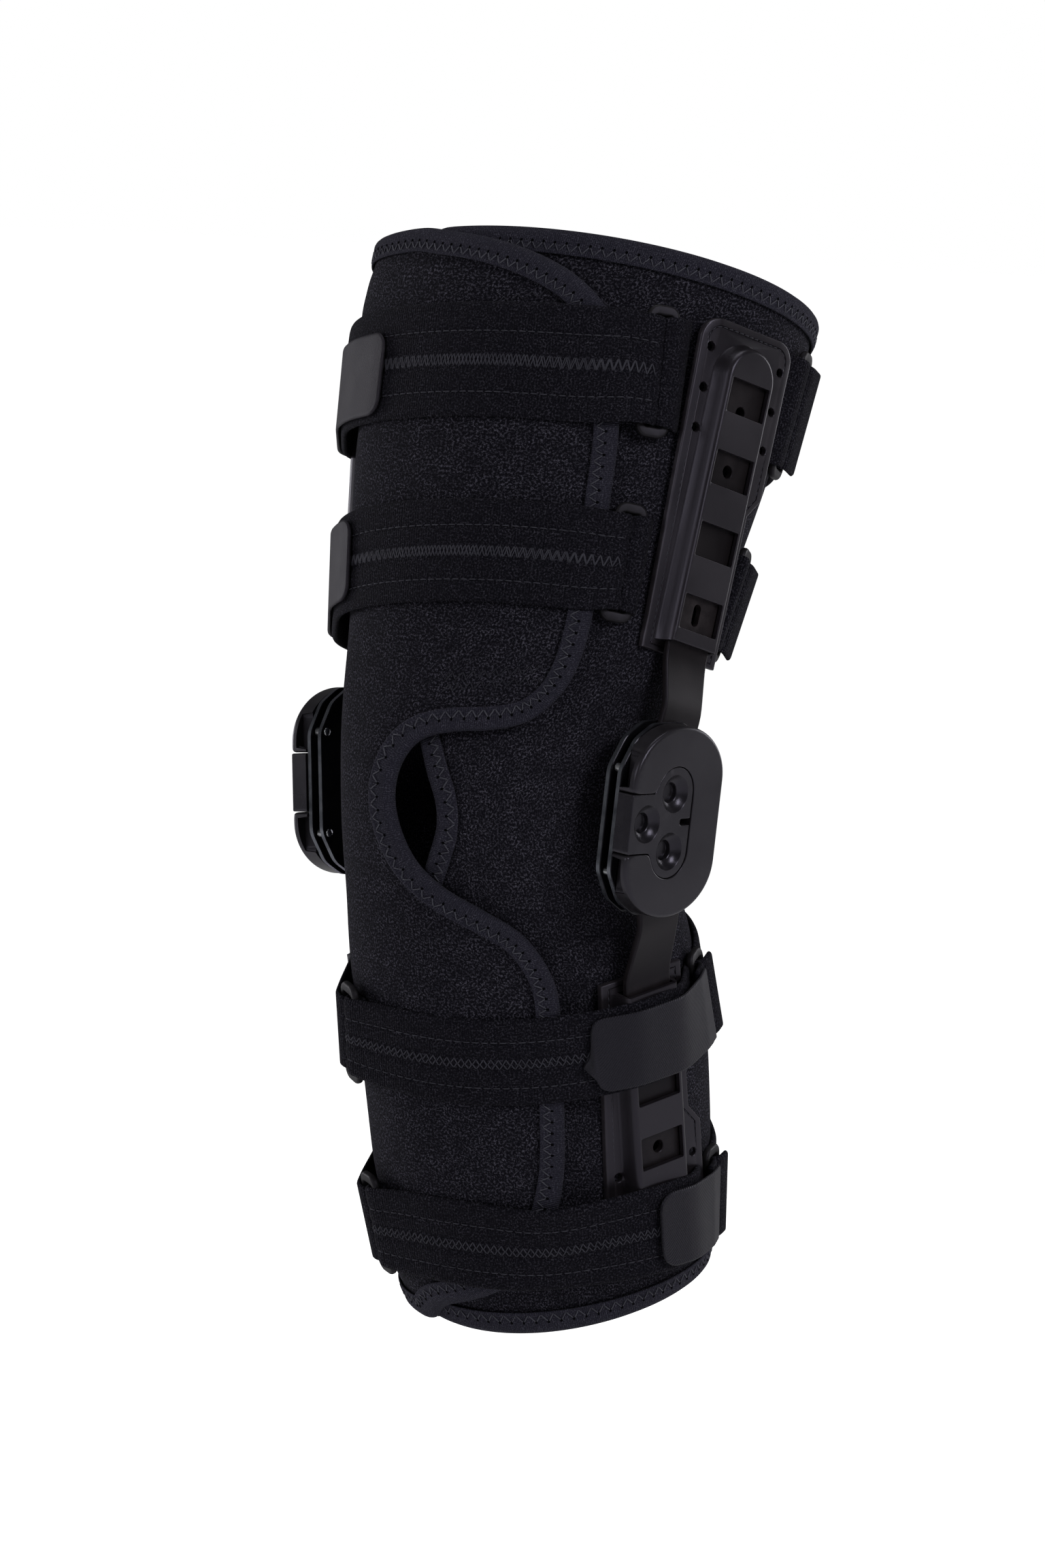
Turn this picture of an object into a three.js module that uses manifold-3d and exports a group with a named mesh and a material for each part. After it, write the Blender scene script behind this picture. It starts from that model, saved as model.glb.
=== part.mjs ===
// Hinged knee brace in its worn form, slightly bent: wrap sleeve, four strap sets, two hinges.
// Units are millimetres, +Z is up, -Y is the front of the leg.
// The origin is the middle of the hinge axis, which runs along X.
import * as THREE from 'three';
import { mergeVertices } from 'three/addons/utils/BufferGeometryUtils.js';
import Module from 'manifold-3d';

const wasm = await Module();
wasm.setup();

// Leg form: height, centre, half width across and half depth of the sleeve's outer face.
const SECTIONS = [
  { z: 245, x: -27.0, y: 85.0, across: 103.0, deep: 91.0 },
  { z: 200, x: -22.0, y: 68.0, across: 98.5, deep: 90.0 },
  { z: 140, x: -16.5, y: 46.5, across: 92.5, deep: 81.5 },
  { z: 71, x: -7.5, y: 20.5, across: 83.0, deep: 67.5 },
  { z: 40, x: -3.5, y: 9.0, across: 75.0, deep: 67.0 },
  { z: 0, x: 0.0, y: 2.0, across: 66.5, deep: 69.0 },
  { z: -40, x: -4.0, y: 16.0, across: 68.0, deep: 72.0 },
  { z: -75, x: -7.5, y: 33.0, across: 71.4, deep: 78.5 },
  { z: -150, x: -11.3, y: 51.8, across: 69.6, deep: 77.7 },
  { z: -185, x: -12.5, y: 59.3, across: 66.0, deep: 73.5 },
  { z: -205, x: -13.0, y: 62.5, across: 61.0, deep: 67.5 },
  { z: -230, x: -14.0, y: 68.0, across: 53.5, deep: 58.0 },
];

// Level planes round the leg: z = level + front * cos(angle) + right * sin(angle).
const TOP_RIM = { level: 212.4, front: 25.9, right: 5.9 };
const BOTTOM_RIM = { level: -207.5, front: -17.8, right: -3.5 };

// Sleeve cloth and its edge tape.
const CLOTH = 3.6;
const TAPE = 0.9;
const TAPE_WIDTH = 8.5;
const TAPE_SEAT = 0.97;
const TAPE_EDGE_SEAT = 0.6;
const EDGE_LEAST = 4;
const SEAT = 0.35;
const FLAP_LIFT = CLOTH + TAPE + 2 * TAPE_SEAT;
const WRAP = { from: -16, step: 12, columns: 36, join: 28, turn: 30 };
const RAMP = { from: 290, to: 336 };
// Rows of the sleeve between its bottom rim (0) and its top rim (1), close together at the knee.
const ROWS = [0, 0.025, 0.055, 0.1, 0.19, 0.3, 0.39, 0.45, 0.505, 0.56, 0.64, 0.75, 0.86, 0.95, 1];

// Free edge of the outer flap, from its top corner past the kneecap scoop to its bottom corner.
const FLAP_EDGE = [
  { angle: -28, z: 250 },
  { angle: -16, z: 235.9 },
  { angle: -4, z: 236 },
  { angle: 8, z: 234.2 },
  { angle: 20, z: 229.4 },
  { angle: 32, z: 220.2 },
  { angle: 41.5, z: 206 },
  { angle: 46.5, z: 184 },
  { angle: 49.6, z: 158 },
  { angle: 50.9, z: 128 },
  { angle: 51.8, z: 82 },
  { angle: 51.6, z: 68.7 },
  { angle: 49.6, z: 51 },
  { angle: 44, z: 41.4 },
  { angle: 32, z: 36.2 },
  { angle: 20, z: 34.6 },
  { angle: 8, z: 28.6 },
  { angle: 2.5, z: 18 },
  { angle: 1.2, z: 8.6 },
  { angle: 4.5, z: -9.3 },
  { angle: 9.9, z: -21.9 },
  { angle: 20, z: -33 },
  { angle: 32, z: -41.2 },
  { angle: 44, z: -51.5 },
  { angle: 49.4, z: -66 },
  { angle: 50, z: -100 },
  { angle: 49.5, z: -129 },
  { angle: 47.8, z: -155.6 },
  { angle: 41, z: -183 },
  { angle: 37, z: -191.5 },
  { angle: 32, z: -198.5 },
  { angle: 20, z: -206.5 },
  { angle: 8, z: -211.5 },
  { angle: -4, z: -215.5 },
  { angle: -16, z: -223.8 },
  { angle: -28, z: -236 },
];
// Hidden and scooped edge of the inner panel.
const PANEL_EDGE = [
  { angle: -10, z: 262 },
  { angle: -10, z: 150 },
  { angle: -8, z: 75 },
  { angle: 2, z: 45 },
  { angle: 8, z: 30 },
  { angle: 13.5, z: 16 },
  { angle: 19, z: 2 },
  { angle: 19.4, z: -6.4 },
  { angle: 16.4, z: -16 },
  { angle: 8, z: -38 },
  { angle: 2, z: -54 },
  { angle: -8, z: -90 },
  { angle: -10, z: -160 },
  { angle: -10, z: -250 },
];

// Strap sets: width, level plane, side of the sewn end (+1 right), ring and tab angles.
const STRAPS = [
  { name: 'thigh_upper', width: 49, level: 164.5, front: 18.5, right: 9.5,
    side: 1, ring: 57, tabEnd: 12, tabWidth: 36, tip: 0.8, flat: true, wide: true },
  { name: 'thigh_lower', width: 43, level: 84.5, front: 20, right: 11,
    side: 1, ring: 59.3, tabEnd: 22, tabWidth: 35, tip: 0.8, flat: true, wide: false },
  { name: 'calf_upper', width: 38, level: -80.5, front: -23, right: -8.5,
    side: -1, ring: 22, tabEnd: 56, tabWidth: 33, tip: 0.35, flat: false, wide: false },
  { name: 'calf_lower', width: 40, level: -168.3, front: -15.4, right: -4.5,
    side: -1, ring: 22, tabEnd: 76, tabWidth: 34, tip: 0.7, flat: false, wide: true },
];
const STRAP = 2.4;
const STRAP_SEAT = 1.0;
const RETURN_SEAT = 0.75;
const FOLD_SEAT = 0.6;
const TAB = 1.5;
const ANCHOR = 1.8;
const WIRE = 1.55;
const RING_HALF = 5.5;
const RING_OVER = 4.2;
const RING_LIFT = 5.0;
const FAR_RING_LIFT = 9.0;
const REAR_RING = 110;
const FAR_RING = 110;
const FOLD = WIRE + FOLD_SEAT + STRAP / 2;
const STEP = 8;
const FINE_STEP = 2;
const BAND_SAG = 0.3;
const TAIL = 8;
const BAND_GAP = 3;

// Channels that hold the bars: backward lean of the arms, ends, and hat section.
const LEAN = 0.262;
const CHANNEL_SIDE = 85;
const CHANNEL = {
  length: 134, front: 24, frontNarrow: 20, rear: 23, rearNarrow: 17, stepFrom: 66, stepTo: 74,
  flange: 2.3, corner: 9, wallBase: 14.6, wallTop: 13.6, height: 9.6, roof: 2.2,
  roofEnd: 11, overhang: 16, pocket: 12.4, sagRadius: 80,
};
const WINDOW = { first: 11, pitch: 29, count: 4, length: 14.5, half: 10 };
const RIVET = { radius: 1.7, inset: 5.0 };
const THIGH_START = 66;
const CALF_START = -66;
const CHANNEL_SEAT = 0.55;

// Bars between channels and hinges.
const BAR = { half: 12, thick: 3, under: 3.7, end: 124, headReach: 6, holeRadius: 2.2 };

// Hinges: outer face distance, outward lean, and the stack from the face inwards.
const HINGE = { face: 95.6, lean: 5, halfWidth: 28, straight: 17, endRise: 23 };
const COVER = { thick: 8.6, edge: 1.2 };
const PLATE = { thick: 2.3, halfWidth: 27.2, halfFlat: 21.5, shoulder: 34, top: 40 };
const PLATE_TOP_HALF = 9;
const PLATE_SHOULDER_HALF = 19.5;
const OUTER_PLATE_TOP = -(COVER.thick + SEAT);
const BAR_MID = OUTER_PLATE_TOP - PLATE.thick - SEAT - BAR.thick / 2;
const INNER_PLATE_TOP = BAR_MID - BAR.thick / 2 - SEAT;
const INSERT = { half: 12.4, neck: -14.5, lobe: 11.2, lobeX: -1.8, lobeZ: 12, rear: 9.4 };
const RECESS = { outer: 8, inner: 4.15, deep: 3.2, frontX: -17.6 };
const SLOT = { from: 3.2, half: 1.3 };
const SPACER = { radius: 1.9, x: -23.5, z: 21.5 };
const STUD = { radius: 5.2, neck: 3, tall: 3.4, x: 1.5 };

const COLOURS = {
  cloth: { color: 0x1d1d21, roughness: 0.95, metalness: 0 },
  tape: { color: 0x24252c, roughness: 0.85, metalness: 0 },
  strap: { color: 0x1b1b1f, roughness: 0.95, metalness: 0 },
  hook: { color: 0x47444a, roughness: 0.6, metalness: 0 },
  twill: { color: 0x2a2a30, roughness: 0.7, metalness: 0 },
  plastic: { color: 0x2f2c30, roughness: 0.5, metalness: 0 },
  ring: { color: 0x333134, roughness: 0.4, metalness: 0.1 },
  bar: { color: 0x2b2929, roughness: 0.4, metalness: 0.6 },
  plate: { color: 0x15151a, roughness: 0.2, metalness: 0.8 },
  steel: { color: 0x8a8c92, roughness: 0.25, metalness: 1 },
};

const group = new THREE.Group();
group.name = 'hinged_knee_brace';
const RAD = Math.PI / 180;

function addPart(name, geometry, look) {
  const mesh = new THREE.Mesh(geometry, new THREE.MeshStandardMaterial(COLOURS[look]));
  mesh.name = name;
  group.add(mesh);
}

// Smooth value of one column of a table at height z; the table runs downwards.
function column(table, key, z) {
  const last = table.length - 1;
  let i = 0;
  while (i < last - 1 && z < table[i + 1].z) i += 1;
  const p = table[i];
  const q = table[i + 1];
  const before = table[Math.max(i - 1, 0)];
  const after = table[Math.min(i + 2, last)];
  const span = q.z - p.z;
  const t = (z - p.z) / span;
  const slopeP = (q[key] - before[key]) / (q.z - before.z);
  const slopeQ = (after[key] - p[key]) / (after.z - p.z);
  if (t < 0) return p[key] + slopeP * (z - p.z);
  if (t > 1) return q[key] + slopeQ * (z - q.z);
  const t2 = t * t;
  const t3 = t2 * t;
  return p[key] * (2 * t3 - 3 * t2 + 1) + slopeP * span * (t3 - 2 * t2 + t)
    + q[key] * (3 * t2 - 2 * t3) + slopeQ * span * (t3 - t2);
}

function legSection(z) {
  const out = {};
  for (const key of ['x', 'y', 'across', 'deep']) out[key] = column(SECTIONS, key, z);
  return out;
}

function levelAt(plane, angle) {
  const a = angle * RAD;
  return plane.level + plane.front * Math.cos(a) + plane.right * Math.sin(a);
}

function wrapTurn(columnIndex) {
  return WRAP.from + WRAP.step * columnIndex;
}

// Columns of the leg form, each with the sections at its rows; they repeat every full turn.
const COLUMNS = [];
for (let i = 0; i < WRAP.turn; i += 1) {
  const angle = wrapTurn(i) * RAD;
  const low = levelAt(BOTTOM_RIM, wrapTurn(i));
  const high = levelAt(TOP_RIM, wrapTurn(i));
  COLUMNS.push(ROWS.map((share) => {
    const z = low + (high - low) * share;
    return { ...legSection(z), z, sin: Math.sin(angle), cos: Math.cos(angle) };
  }));
}

function rowPoint({ x, y, z, across, deep, sin, cos }, lift) {
  return new THREE.Vector3(x + (across + lift) * sin, y - (deep + lift) * cos, z);
}

function rowBelow(rows, z) {
  let j = 0;
  while (j < rows.length - 2 && z > rows[j + 1].z) j += 1;
  return j;
}

function columnPoint(index, z, lift) {
  const rows = COLUMNS[((index % WRAP.turn) + WRAP.turn) % WRAP.turn];
  const j = rowBelow(rows, z);
  const share = (z - rows[j].z) / (rows[j + 1].z - rows[j].z);
  return rowPoint(rows[j], lift).lerp(rowPoint(rows[j + 1], lift), share);
}

// Point on the leg form at an angle from the front, a height and a distance off the cloth.
function onLeg(angle, z, lift) {
  const place = (angle - WRAP.from) / WRAP.step;
  const index = Math.floor(place);
  return columnPoint(index, z, lift).lerp(columnPoint(index + 1, z, lift), place - index);
}

// Arc length in millimetres per degree round the leg.
function perDegree(angle, z) {
  const s = legSection(z);
  const a = angle * RAD;
  return RAD * Math.hypot(s.across * Math.cos(a), s.deep * Math.sin(a));
}

function smooth(from, to, value) {
  const t = THREE.MathUtils.clamp((value - from) / (to - from), 0, 1);
  return t * t * (3 - 2 * t);
}

// Closed solid through a row of point rings. Open rows get end caps,
// each made of strips between the two halves of its ring.
function loft(rings, closed) {
  const count = rings[0].length;
  const index = [];
  const spans = closed ? rings.length : rings.length - 1;
  for (let i = 0; i < spans; i += 1) {
    const a = i * count;
    const b = ((i + 1) % rings.length) * count;
    for (let j = 0; j < count; j += 1) {
      const k = (j + 1) % count;
      index.push(a + j, b + j, b + k, a + j, b + k, a + k);
    }
  }
  if (!closed) {
    const end = (rings.length - 1) * count;
    for (let j = 0; j < count / 2 - 1; j += 1) {
      const m = count - 1 - j;
      index.push(j, j + 1, m - 1, j, m - 1, m);
      index.push(end + j, end + m - 1, end + j + 1, end + j, end + m, end + m - 1);
    }
  }
  const points = rings.flat();
  let volume = 0;
  for (let i = 0; i < index.length; i += 3) {
    const [p, q, r] = [points[index[i]], points[index[i + 1]], points[index[i + 2]]];
    volume += p.dot(q.clone().cross(r));
  }
  if (volume < 0) {
    for (let i = 0; i < index.length; i += 3) {
      [index[i], index[i + 1]] = [index[i + 1], index[i]];
    }
  }
  const geometry = new THREE.BufferGeometry().setFromPoints(points);
  geometry.setIndex(index);
  return geometry;
}

function toManifold(geometry) {
  const clean = geometry.clone();
  clean.deleteAttribute('normal');
  clean.deleteAttribute('uv');
  const merged = mergeVertices(clean, 1e-4);
  return new wasm.Manifold(new wasm.Mesh({
    numProp: 3,
    vertProperties: new Float32Array(merged.attributes.position.array),
    triVerts: new Uint32Array(merged.index.array),
  }));
}

function fromManifold(solid) {
  const mesh = solid.getMesh();
  const geometry = new THREE.BufferGeometry();
  geometry.setAttribute('position', new THREE.BufferAttribute(mesh.vertProperties, 3));
  geometry.setIndex(new THREE.BufferAttribute(mesh.triVerts, 1));
  return geometry;
}

function slab(shape, low, high, segments = 6) {
  const geometry = new THREE.ExtrudeGeometry(shape, {
    depth: high - low, bevelEnabled: false, curveSegments: segments,
  });
  return geometry.translate(0, 0, low);
}

function discSlab(x, y, radius, low, high, sides = 8) {
  const shape = new THREE.Shape();
  shape.absarc(x, y, radius, 0, 2 * Math.PI, false);
  return slab(shape, low, high, sides / 2);
}

// Sleeve: one cloth panel wrapped once round the leg, its left end lying over its right end.
function sleeveLift(turn) {
  const place = (turn - WRAP.from) / WRAP.step;
  const index = Math.floor(place);
  const at = (i) => FLAP_LIFT * smooth(RAMP.from, RAMP.to, wrapTurn(i));
  return at(index) + (at(index + 1) - at(index)) * (place - index);
}

function makeWrap(firstColumn, lastColumn) {
  const rings = [];
  for (let i = firstColumn; i <= lastColumn; i += 1) {
    const lift = sleeveLift(wrapTurn(i));
    const rows = COLUMNS[i % WRAP.turn];
    const outer = rows.map((row) => rowPoint(row, lift));
    const inner = rows.map((row) => rowPoint(row, lift - CLOTH));
    rings.push(outer.concat(inner.reverse()));
  }
  return loft(rings, false);
}

// The same edge line with a further point wherever it crosses a row or a column of the sleeve.
function finer(edge) {
  const cell = (angle, z) => {
    const index = Math.floor((angle - WRAP.from) / WRAP.step);
    const rows = COLUMNS[((index % WRAP.turn) + WRAP.turn) % WRAP.turn];
    return `${index} ${rowBelow(rows, z)}`;
  };
  const out = [edge[0]];
  for (let i = 1; i < edge.length; i += 1) {
    const p = edge[i - 1];
    const q = edge[i];
    const size = Math.hypot((q.angle - p.angle) * perDegree(p.angle, p.z), q.z - p.z);
    const steps = Math.ceil(size);
    let last = cell(p.angle, p.z);
    let since = 0;
    for (let j = 1; j < steps; j += 1) {
      const angle = p.angle + (q.angle - p.angle) * j / steps;
      const z = p.z + (q.z - p.z) * j / steps;
      const here = cell(angle, z);
      if (here !== last && j - since > EDGE_LEAST && steps - j > EDGE_LEAST) {
        out.push({ angle, z });
        since = j;
      }
      last = here;
    }
    out.push(q);
  }
  return out;
}

// Block between an edge line and a fixed angle, past both faces of cloth at some lift.
function edgeBlock(edge, toAngle, lift) {
  const fan = 8;
  const past = 2;
  const rings = finer(edge).map(({ angle, z }) => {
    const inner = [];
    const outer = [];
    for (let i = 0; i <= fan; i += 1) {
      const a = angle + (toAngle - angle) * i / fan;
      inner.push(onLeg(a, z, lift - CLOTH - past));
      outer.push(onLeg(a, z, lift + past));
    }
    return inner.concat(outer.reverse());
  });
  return loft(rings, false);
}

function makeSleeve() {
  const lastAngle = wrapTurn(WRAP.columns) - 360;
  const flap = toManifold(makeWrap(WRAP.join, WRAP.columns))
    .subtract(toManifold(edgeBlock(FLAP_EDGE, lastAngle + 6, FLAP_LIFT)));
  const panel = toManifold(makeWrap(0, WRAP.join))
    .subtract(toManifold(edgeBlock(PANEL_EDGE, WRAP.from - 6, 0)));
  return fromManifold(panel.add(flap));
}

// Rim and edge line of the whole panel, as turns and heights, with the cloth on the right hand.
function panelOutline() {
  const line = [];
  const flap = FLAP_EDGE.slice(2, -2);
  const panelTop = PANEL_EDGE[0].angle;
  const flapTop = 360 + flap[0].angle;
  const flapBottom = 360 + flap[flap.length - 1].angle;
  line.push({ turn: panelTop, z: levelAt(TOP_RIM, panelTop) });
  for (let i = 1; i < WRAP.columns; i += 1) {
    const turn = wrapTurn(i);
    if (turn > panelTop + 3 && turn < flapTop - 3) line.push({ turn, z: levelAt(TOP_RIM, turn) });
  }
  for (const { angle, z } of finer(flap)) line.push({ turn: 360 + angle, z });
  for (let i = WRAP.columns; i > 0; i -= 1) {
    const turn = wrapTurn(i);
    if (turn > panelTop + 3 && turn < flapBottom - 5) {
      line.push({ turn, z: levelAt(BOTTOM_RIM, turn) });
    }
  }
  line.push({ turn: panelTop, z: levelAt(BOTTOM_RIM, panelTop) });
  const hidden = finer(PANEL_EDGE).reverse();
  const inside = (z) => z > levelAt(BOTTOM_RIM, panelTop) + 2 * EDGE_LEAST
    && z < levelAt(TOP_RIM, panelTop) - 2 * EDGE_LEAST;
  for (const { angle, z } of hidden) if (inside(z)) line.push({ turn: angle, z });
  return line;
}

// Edge tape: a folded strip with one leg on each face of the cloth.
function makeTape() {
  const line = panelOutline();
  const count = line.length;
  const rings = line.map((here, i) => {
    const before = line[(i + count - 1) % count];
    const after = line[(i + 1) % count];
    const scale = perDegree(here.turn, here.z);
    const inT = new THREE.Vector2((here.turn - before.turn) * scale, here.z - before.z).normalize();
    const outT = new THREE.Vector2((after.turn - here.turn) * scale, after.z - here.z).normalize();
    const along = inT.clone().add(outT).normalize();
    const miter = 1 / Math.max(along.dot(outT), 0.7);
    const inward = new THREE.Vector2(along.y, -along.x).multiplyScalar(miter);
    const top = sleeveLift(here.turn);
    const bottom = top - CLOTH;
    const leg = TAPE_WIDTH;
    const gap = TAPE_SEAT;
    const out = TAPE_SEAT + TAPE;
    const edge = -TAPE_EDGE_SEAT;
    const rim = edge - TAPE;
    const section = [
      [leg, top + gap], [leg, top + out], [rim, top + out], [rim, bottom - out],
      [leg, bottom - out], [leg, bottom - gap], [edge, bottom - gap], [edge, top + gap],
    ];
    return section.map(([inset, lift]) => onLeg(
      here.turn + inset * inward.x / scale,
      here.z + inset * inward.y,
      lift,
    ));
  });
  return loft(rings, true);
}

// Angle on the leg form that lies nearest to a point.
function angleOf(point) {
  const s = legSection(point.z);
  return Math.atan2((point.x - s.x) / s.across, (s.y - point.y) / s.deep) / RAD;
}

// Height of the cloth, the flap and its edge tape off the leg form.
function clothTop(angle, z) {
  const a = angle - 360 * Math.round(angle / 360);
  const scale = perDegree(a, z);
  let inside = a < WRAP.from;
  let nearest = Infinity;
  for (let i = 1; i < FLAP_EDGE.length; i += 1) {
    const p = FLAP_EDGE[i - 1];
    const q = FLAP_EDGE[i];
    const from = new THREE.Vector2((p.angle - a) * scale, p.z - z);
    const span = new THREE.Vector2((q.angle - p.angle) * scale, q.z - p.z);
    const share = THREE.MathUtils.clamp(-from.dot(span) / span.lengthSq(), 0, 1);
    nearest = Math.min(nearest, from.addScaledVector(span, share).length());
    if (z <= p.z && z > q.z && a < p.angle + (q.angle - p.angle) * (p.z - z) / (p.z - q.z)) inside = true;
  }
  const rim = 2 * (TAPE + TAPE_SEAT);
  if (!inside && nearest > rim) return 0;
  const tape = nearest < TAPE_WIDTH + rim ? TAPE + TAPE_SEAT : 0;
  return sleeveLift(a + 360) + tape;
}

// Place where a flat band of some width lies on the cloth at an angle.
function station(set, angle, width) {
  const base = onLeg(angle, levelAt(set, angle), 0);
  const run = onLeg(angle + 1, levelAt(set, angle + 1), 0)
    .sub(onLeg(angle - 1, levelAt(set, angle - 1), 0)).normalize();
  const rise = onLeg(angle, base.z + 1, 0).sub(onLeg(angle, base.z - 1, 0));
  const up = run.clone().cross(rise).cross(run).normalize();
  const touched = [-1, -0.8, -0.6, -0.3, 0, 0.3, 0.6, 0.8, 1].map((share) => {
    const target = base.clone().addScaledVector(up, share * width / 2);
    const a = angleOf(target);
    return onLeg(a, target.z, clothTop(a, target.z));
  });
  const bottom = touched[0];
  const top = touched[touched.length - 1];
  const chord = top.clone().sub(bottom).normalize();
  const out = run.clone().cross(chord).normalize();
  const centre = bottom.clone().add(top).multiplyScalar(0.5);
  const bulge = Math.max(...touched.map((p) => p.clone().sub(centre).dot(out)));
  return { angle, centre: centre.addScaledVector(out, bulge), up: chord, out, run };
}

// Places where a flat band crosses the two raised edges of a channel, front edge first.
function overChannel(set, channel, height) {
  return [-1, 1].map((end) => {
    const x = end * channel.rear * (CHANNEL.wallTop + SEAT);
    const point = new THREE.Vector3(x, 0, CHANNEL.height + height).applyMatrix4(channel.matrix);
    for (let i = 0; i < 3; i += 1) {
      const off = levelAt(set, angleOf(point)) - point.z;
      point.addScaledVector(channel.along, off / channel.along.z);
    }
    const up = channel.along.clone().multiplyScalar(Math.sign(channel.along.z));
    const run = up.clone().cross(channel.outward);
    return { angle: angleOf(point), centre: point, up, out: channel.outward, run };
  });
}

function raised(place, height) {
  return { ...place, centre: place.centre.clone().addScaledVector(place.out, height) };
}

// Places that a tight band touches; turn is +1 for bands that run anticlockwise from above.
function taut(places, turn) {
  const kept = [];
  for (const next of places) {
    while (kept.length > 1) {
      const p = kept[kept.length - 2].centre;
      const q = kept[kept.length - 1].centre;
      const r = next.centre;
      const bend = (q.x - p.x) * (r.y - p.y) - (q.y - p.y) * (r.x - p.x);
      if (bend * turn > 0) break;
      kept.pop();
    }
    kept.push(next);
  }
  return kept;
}

// The same row without the places that lie on a straight line between others.
function thinned(places) {
  const out = [places[0]];
  let from = 0;
  for (let i = 1; i < places.length; i += 1) {
    const next = places[i + 1];
    let off = Infinity;
    if (next) {
      const line = new THREE.Line3(places[from].centre, next.centre);
      const gaps = places.slice(from + 1, i + 1).map((place) => line
        .closestPointToPoint(place.centre, true, new THREE.Vector3()).distanceTo(place.centre));
      off = Math.max(...gaps);
    }
    if (off > BAND_SAG) {
      out.push(places[i]);
      from = i;
    }
  }
  return out;
}

// Place at an angle on the straight pieces between given places.
function between(places, angle) {
  for (let i = 1; i < places.length; i += 1) {
    const p = places[i - 1];
    const q = places[i];
    const share = (angle - p.angle) / (q.angle - p.angle);
    if (share >= 0 && share <= 1) {
      return {
        angle,
        centre: p.centre.clone().lerp(q.centre, share),
        up: p.up.clone().lerp(q.up, share).normalize(),
        out: p.out.clone().lerp(q.out, share).normalize(),
        run: p.run,
      };
    }
  }
  return places[places.length - 1];
}

// Flat band through a row of places.
function ribbon(places, width, thick) {
  const rings = places.map((place, i) => {
    const ahead = places[Math.min(i + 1, places.length - 1)].centre;
    const behind = places[Math.max(i - 1, 0)].centre;
    const toAhead = ahead.clone().sub(place.centre).normalize();
    const fromBehind = place.centre.clone().sub(behind).normalize();
    const along = toAhead.clone().add(fromBehind).normalize();
    const reach = Math.max(along.dot(i === 0 ? toAhead : fromBehind), 0.75);
    const half = place.up.clone().cross(along).normalize().multiplyScalar(thick / 2 / reach);
    const edge = place.up.clone().multiplyScalar((place.width ?? width) / 2);
    return [
      place.centre.clone().sub(edge).sub(half), place.centre.clone().add(edge).sub(half),
      place.centre.clone().add(edge).add(half), place.centre.clone().sub(edge).add(half),
    ];
  });
  return loft(rings, false);
}

// Place in the plane of a ring: sideways from its middle and off its plane.
function byRing(ring, sideways, height) {
  const centre = ring.centre.clone().addScaledVector(ring.sideways, sideways)
    .addScaledVector(ring.out, height);
  return { angle: ring.angle, centre, up: ring.up, out: ring.out, run: ring.run };
}

// Half turn of a band round one bar of a ring.
function foldRound(ring, bar, radius, fromDeg, toDeg) {
  const steps = 4;
  const out = [];
  for (let i = 0; i <= steps; i += 1) {
    const a = (fromDeg + (toDeg - fromDeg) * i / steps) * RAD;
    out.push(byRing(ring, bar + radius * Math.cos(a), radius * Math.sin(a)));
  }
  return out;
}

// Wire ring that stands upright on the leg.
function makeRing(ring, width) {
  const halfTall = width / 2 + RING_OVER;
  const cut = 2.6;
  const corners = [
    [RING_HALF, -halfTall + cut], [RING_HALF, halfTall - cut],
    [RING_HALF - cut, halfTall], [-RING_HALF + cut, halfTall],
    [-RING_HALF, halfTall - cut], [-RING_HALF, -halfTall + cut],
    [-RING_HALF + cut, -halfTall], [RING_HALF - cut, -halfTall],
  ].map(([x, y]) => new THREE.Vector2(x, y));
  const sides = 6;
  const count = corners.length;
  const rings = corners.map((here, i) => {
    const toAfter = corners[(i + 1) % count].clone().sub(here).normalize();
    const fromBefore = here.clone().sub(corners[(i + count - 1) % count]).normalize();
    const along = fromBefore.add(toAfter).normalize();
    const out = new THREE.Vector2(along.y, -along.x).divideScalar(along.dot(toAfter));
    const section = [];
    for (let k = 0; k < sides; k += 1) {
      const a = 2 * Math.PI * (k + 0.5) / sides;
      const flat = here.clone().addScaledVector(out, WIRE * Math.cos(a));
      section.push(byRing(ring, flat.x, WIRE * Math.sin(a)).centre.addScaledVector(ring.up, flat.y));
    }
    return section;
  });
  return loft(rings, true);
}

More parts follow.
